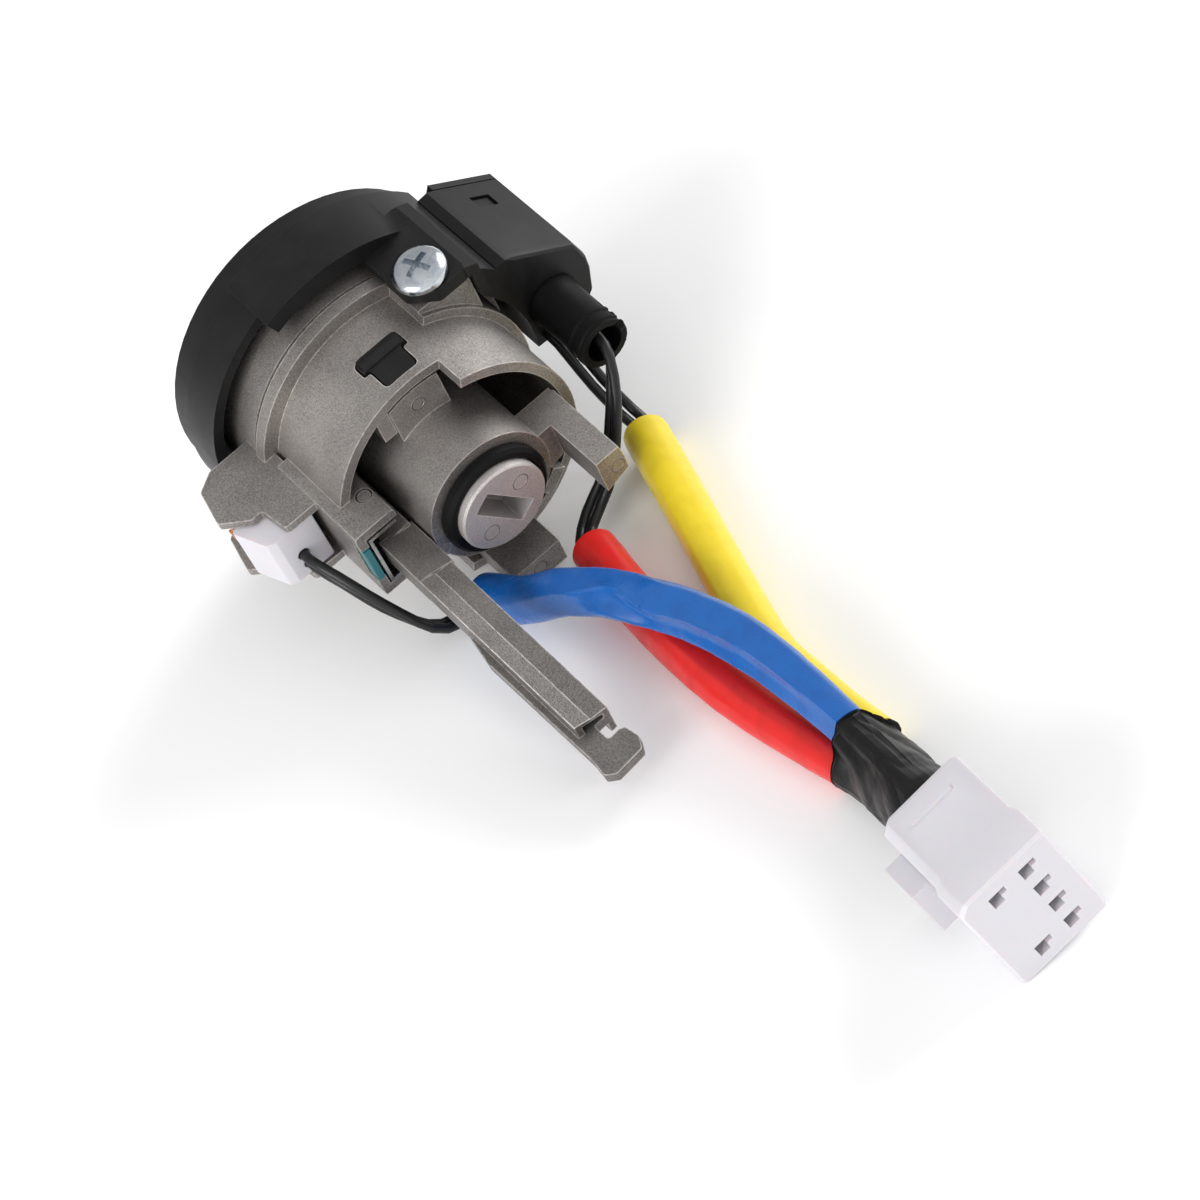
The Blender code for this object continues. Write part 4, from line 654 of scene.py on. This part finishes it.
def wire_lines():
    """Centre lines of the six wires, before SHIFT: out of their piece, then bends, then a mouth."""
    side = WIRE_R + TOUCH / 2
    turned = Matrix.Translation((0.0, 0.0, LIFT)) @ Matrix.Rotation(TILT, 4, "Y")
    lines = {}

    def pair(name, starts, bends, colour, turn, lead=0.0030):
        for i, way in enumerate((1, -1), 1):
            first = [turned @ Vector(p) for p in starts(way)]
            middle = [Vector(p) + Vector(spread) * way * side for p, spread in bends]
            lines[f"{name}_{i}"] = [*first, *middle, *into_mouth(colour, turn * way * side, lead=lead)]

    pair("boot_wire",
         lambda way: [(-0.0190, 0.0313, 0.0024 + way * side), (-0.0157, 0.0313, 0.0024 + way * side),
                      (-0.0097, 0.0311, 0.0022 + way * side)],
         [((-0.0048, 0.0268, 0.0185), (1.0, 0.0, 0.3)), ((-0.0022, 0.0190, 0.0094), (1.0, 0.1, 0.0)),
          ((-0.0014, 0.0124, 0.0050), (0.9, 0.6, 0.0))], "red", -1)
    pair("box_wire",
         lambda way: [(-0.0300, 0.0288 + way * side, -0.0031), (-0.0242, 0.0288 + way * side, -0.0031),
                      (-0.0215, 0.0288 + way * side, -0.0035)],
         [((-0.0172, 0.0290, 0.0128), (0.0, 1.0, 0.0)), ((-0.0143, 0.0300, 0.0058), (0.2, 1.0, 0.0))],
         "yellow", -1)
    switch_places = {1: (-0.0287, -0.0010), -1: (-0.0285, -0.0036)}
    pair("switch_wire",
         lambda way: [(-0.0227, *switch_places[way]), (-0.0185, *switch_places[way])],
         [((-0.0135, -0.0272, 0.0192), (0.3, 0.0, 0.95)), ((-0.0086, -0.0245, 0.0130), (0.65, 0.1, 0.75)),
          ((-0.0050, -0.0206, 0.0062), (0.95, 0.0, 0.2)), ((-0.0058, -0.0165, 0.0026), (1.0, 0.1, 0.0)),
          ((-0.0066, -0.0128, 0.0032), (1.0, -0.5, 0.0))], "blue", 1, 0.0012)
    return lines


def wire_piece(name, route, look):
    points = [p + SHIFT for p in smooth_line(route, 3 * WIRE_R)]
    curve = bpy.data.curves.new(name, "CURVE")
    curve.dimensions = "3D"
    curve.bevel_depth = WIRE_R
    curve.bevel_resolution = 4
    curve.use_fill_caps = True
    spline = curve.splines.new("POLY")
    spline.points.add(len(points) - 1)
    for knot, place in zip(spline.points, points):
        knot.co = (*place, 1.0)
    spline.use_smooth = True
    curve.materials.append(look)
    piece = bpy.data.objects.new(name, curve)
    bpy.context.scene.collection.objects.link(piece)
    return piece, points


def tape_piece(source, look, longest_edge=0.0012):
    """The wound tape: the model's taped bundle with the steps and puckers of its turns."""
    bm = bmesh.new()
    bm.from_mesh(source.data)
    bmesh.ops.remove_doubles(bm, verts=bm.verts, dist=1e-6)
    long_edges = [e for e in bm.edges if e.calc_length() > longest_edge]
    bmesh.ops.subdivide_edges(bm, edges=long_edges, cuts=7, use_grid_fill=True)
    bmesh.ops.triangulate(bm, faces=bm.faces)
    bm.normal_update()
    low = min(v.co.x for v in bm.verts)
    middle = sum((v.co for v in bm.verts), Vector()) / len(bm.verts)
    moves = []
    for vert in bm.verts:
        around = math.atan2(vert.co.z - middle.z, vert.co.y - middle.y)
        step = ((vert.co.x - low) / TAPE_TURN + around / math.tau) % 1.0
        drift = Vector((vert.co.x * 70.0 + math.sin(around), math.cos(around), 2.7))
        fold = abs(noise.noise(drift))
        pucker = noise.noise(drift * 2.6 + Vector((7.0, 1.0, 4.0)))
        out = -0.0001 + 0.0001 * step - 0.0008 * (1.0 - fold) ** 2 + 0.0001 * pucker
        moves.append(vert.normal * out)
    for vert, move in zip(bm.verts, moves):
        vert.co += move
        vert.co.z = max(vert.co.z, 0.0)  # it lies on the ground
    mesh = bpy.data.meshes.new("tape_wrap")
    bm.to_mesh(mesh)
    bm.free()
    mesh.shade_smooth()
    mesh.set_sharp_from_angle(angle=SHARP_EDGE)
    mesh.materials.clear()
    mesh.materials.append(look)
    piece = bpy.data.objects.new("tape_wrap", mesh)
    bpy.context.scene.collection.objects.link(piece)
    return piece


def make_harness(nodes, looks):
    wrap = tape_piece(nodes["tape"], looks["black_tape"])
    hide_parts("tape")
    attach(wrap, "case")
    squeezes = {"red": red_squeeze, "yellow": yellow_squeeze, "blue": blue_squeeze}
    for colour, squeeze in squeezes.items():
        piece, points = sleeve_piece(colour, squeeze, looks[f"{colour}_pvc"])
        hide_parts(f"{colour}_sleeve")
        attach(piece, "case")
    for name, route in wire_lines().items():
        piece, points = wire_piece(f"{name}_skin", route, looks["black_wire"])
        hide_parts(name)
        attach(piece, "case")


def soften(piece, angle=32.0, same_place=0.000002):
    """Shade the curved faces as curved, with its edges sharp, on the shape as it is."""
    piece.data.shade_smooth()
    joined = piece.modifiers.new("joined", "WELD")
    joined.merge_threshold = same_place
    creased = piece.modifiers.new("creased", "EDGE_SPLIT")
    creased.split_angle = math.radians(angle)


def dress(nodes, record, looks):
    """Give each node of the model the finish of its material slot, or a closer one of its own."""
    slots = {part["node"]: part["material_slot"] for part in record["subparts"]}
    slots["inner_body"] = "zinc_inner"  # the zinc with its ejector pin marks
    # the darker copy of the zinc, painted shade on the lever
    slots["lever"] = "lever_zinc_painted_shade"
    slots["pivot_pin"] = "zinc"  # its end is as dull as the casting round it
    for name, piece in nodes.items():
        piece.data.materials.clear()
        piece.data.materials.append(looks[slots[name]])
        soften(piece)


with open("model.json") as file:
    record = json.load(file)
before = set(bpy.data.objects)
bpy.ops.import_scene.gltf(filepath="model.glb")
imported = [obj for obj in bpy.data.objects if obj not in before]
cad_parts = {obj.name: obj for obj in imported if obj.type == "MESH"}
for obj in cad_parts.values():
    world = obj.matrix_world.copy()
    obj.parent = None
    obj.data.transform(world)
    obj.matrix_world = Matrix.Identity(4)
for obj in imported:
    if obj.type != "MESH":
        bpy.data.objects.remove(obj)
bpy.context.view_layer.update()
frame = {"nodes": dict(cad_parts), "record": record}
make_camera()
make_groups()
looks = make_finishes()
make_harness(frame["nodes"], looks)
dress(frame["nodes"], frame["record"], looks)
make_studio()
make_floor()
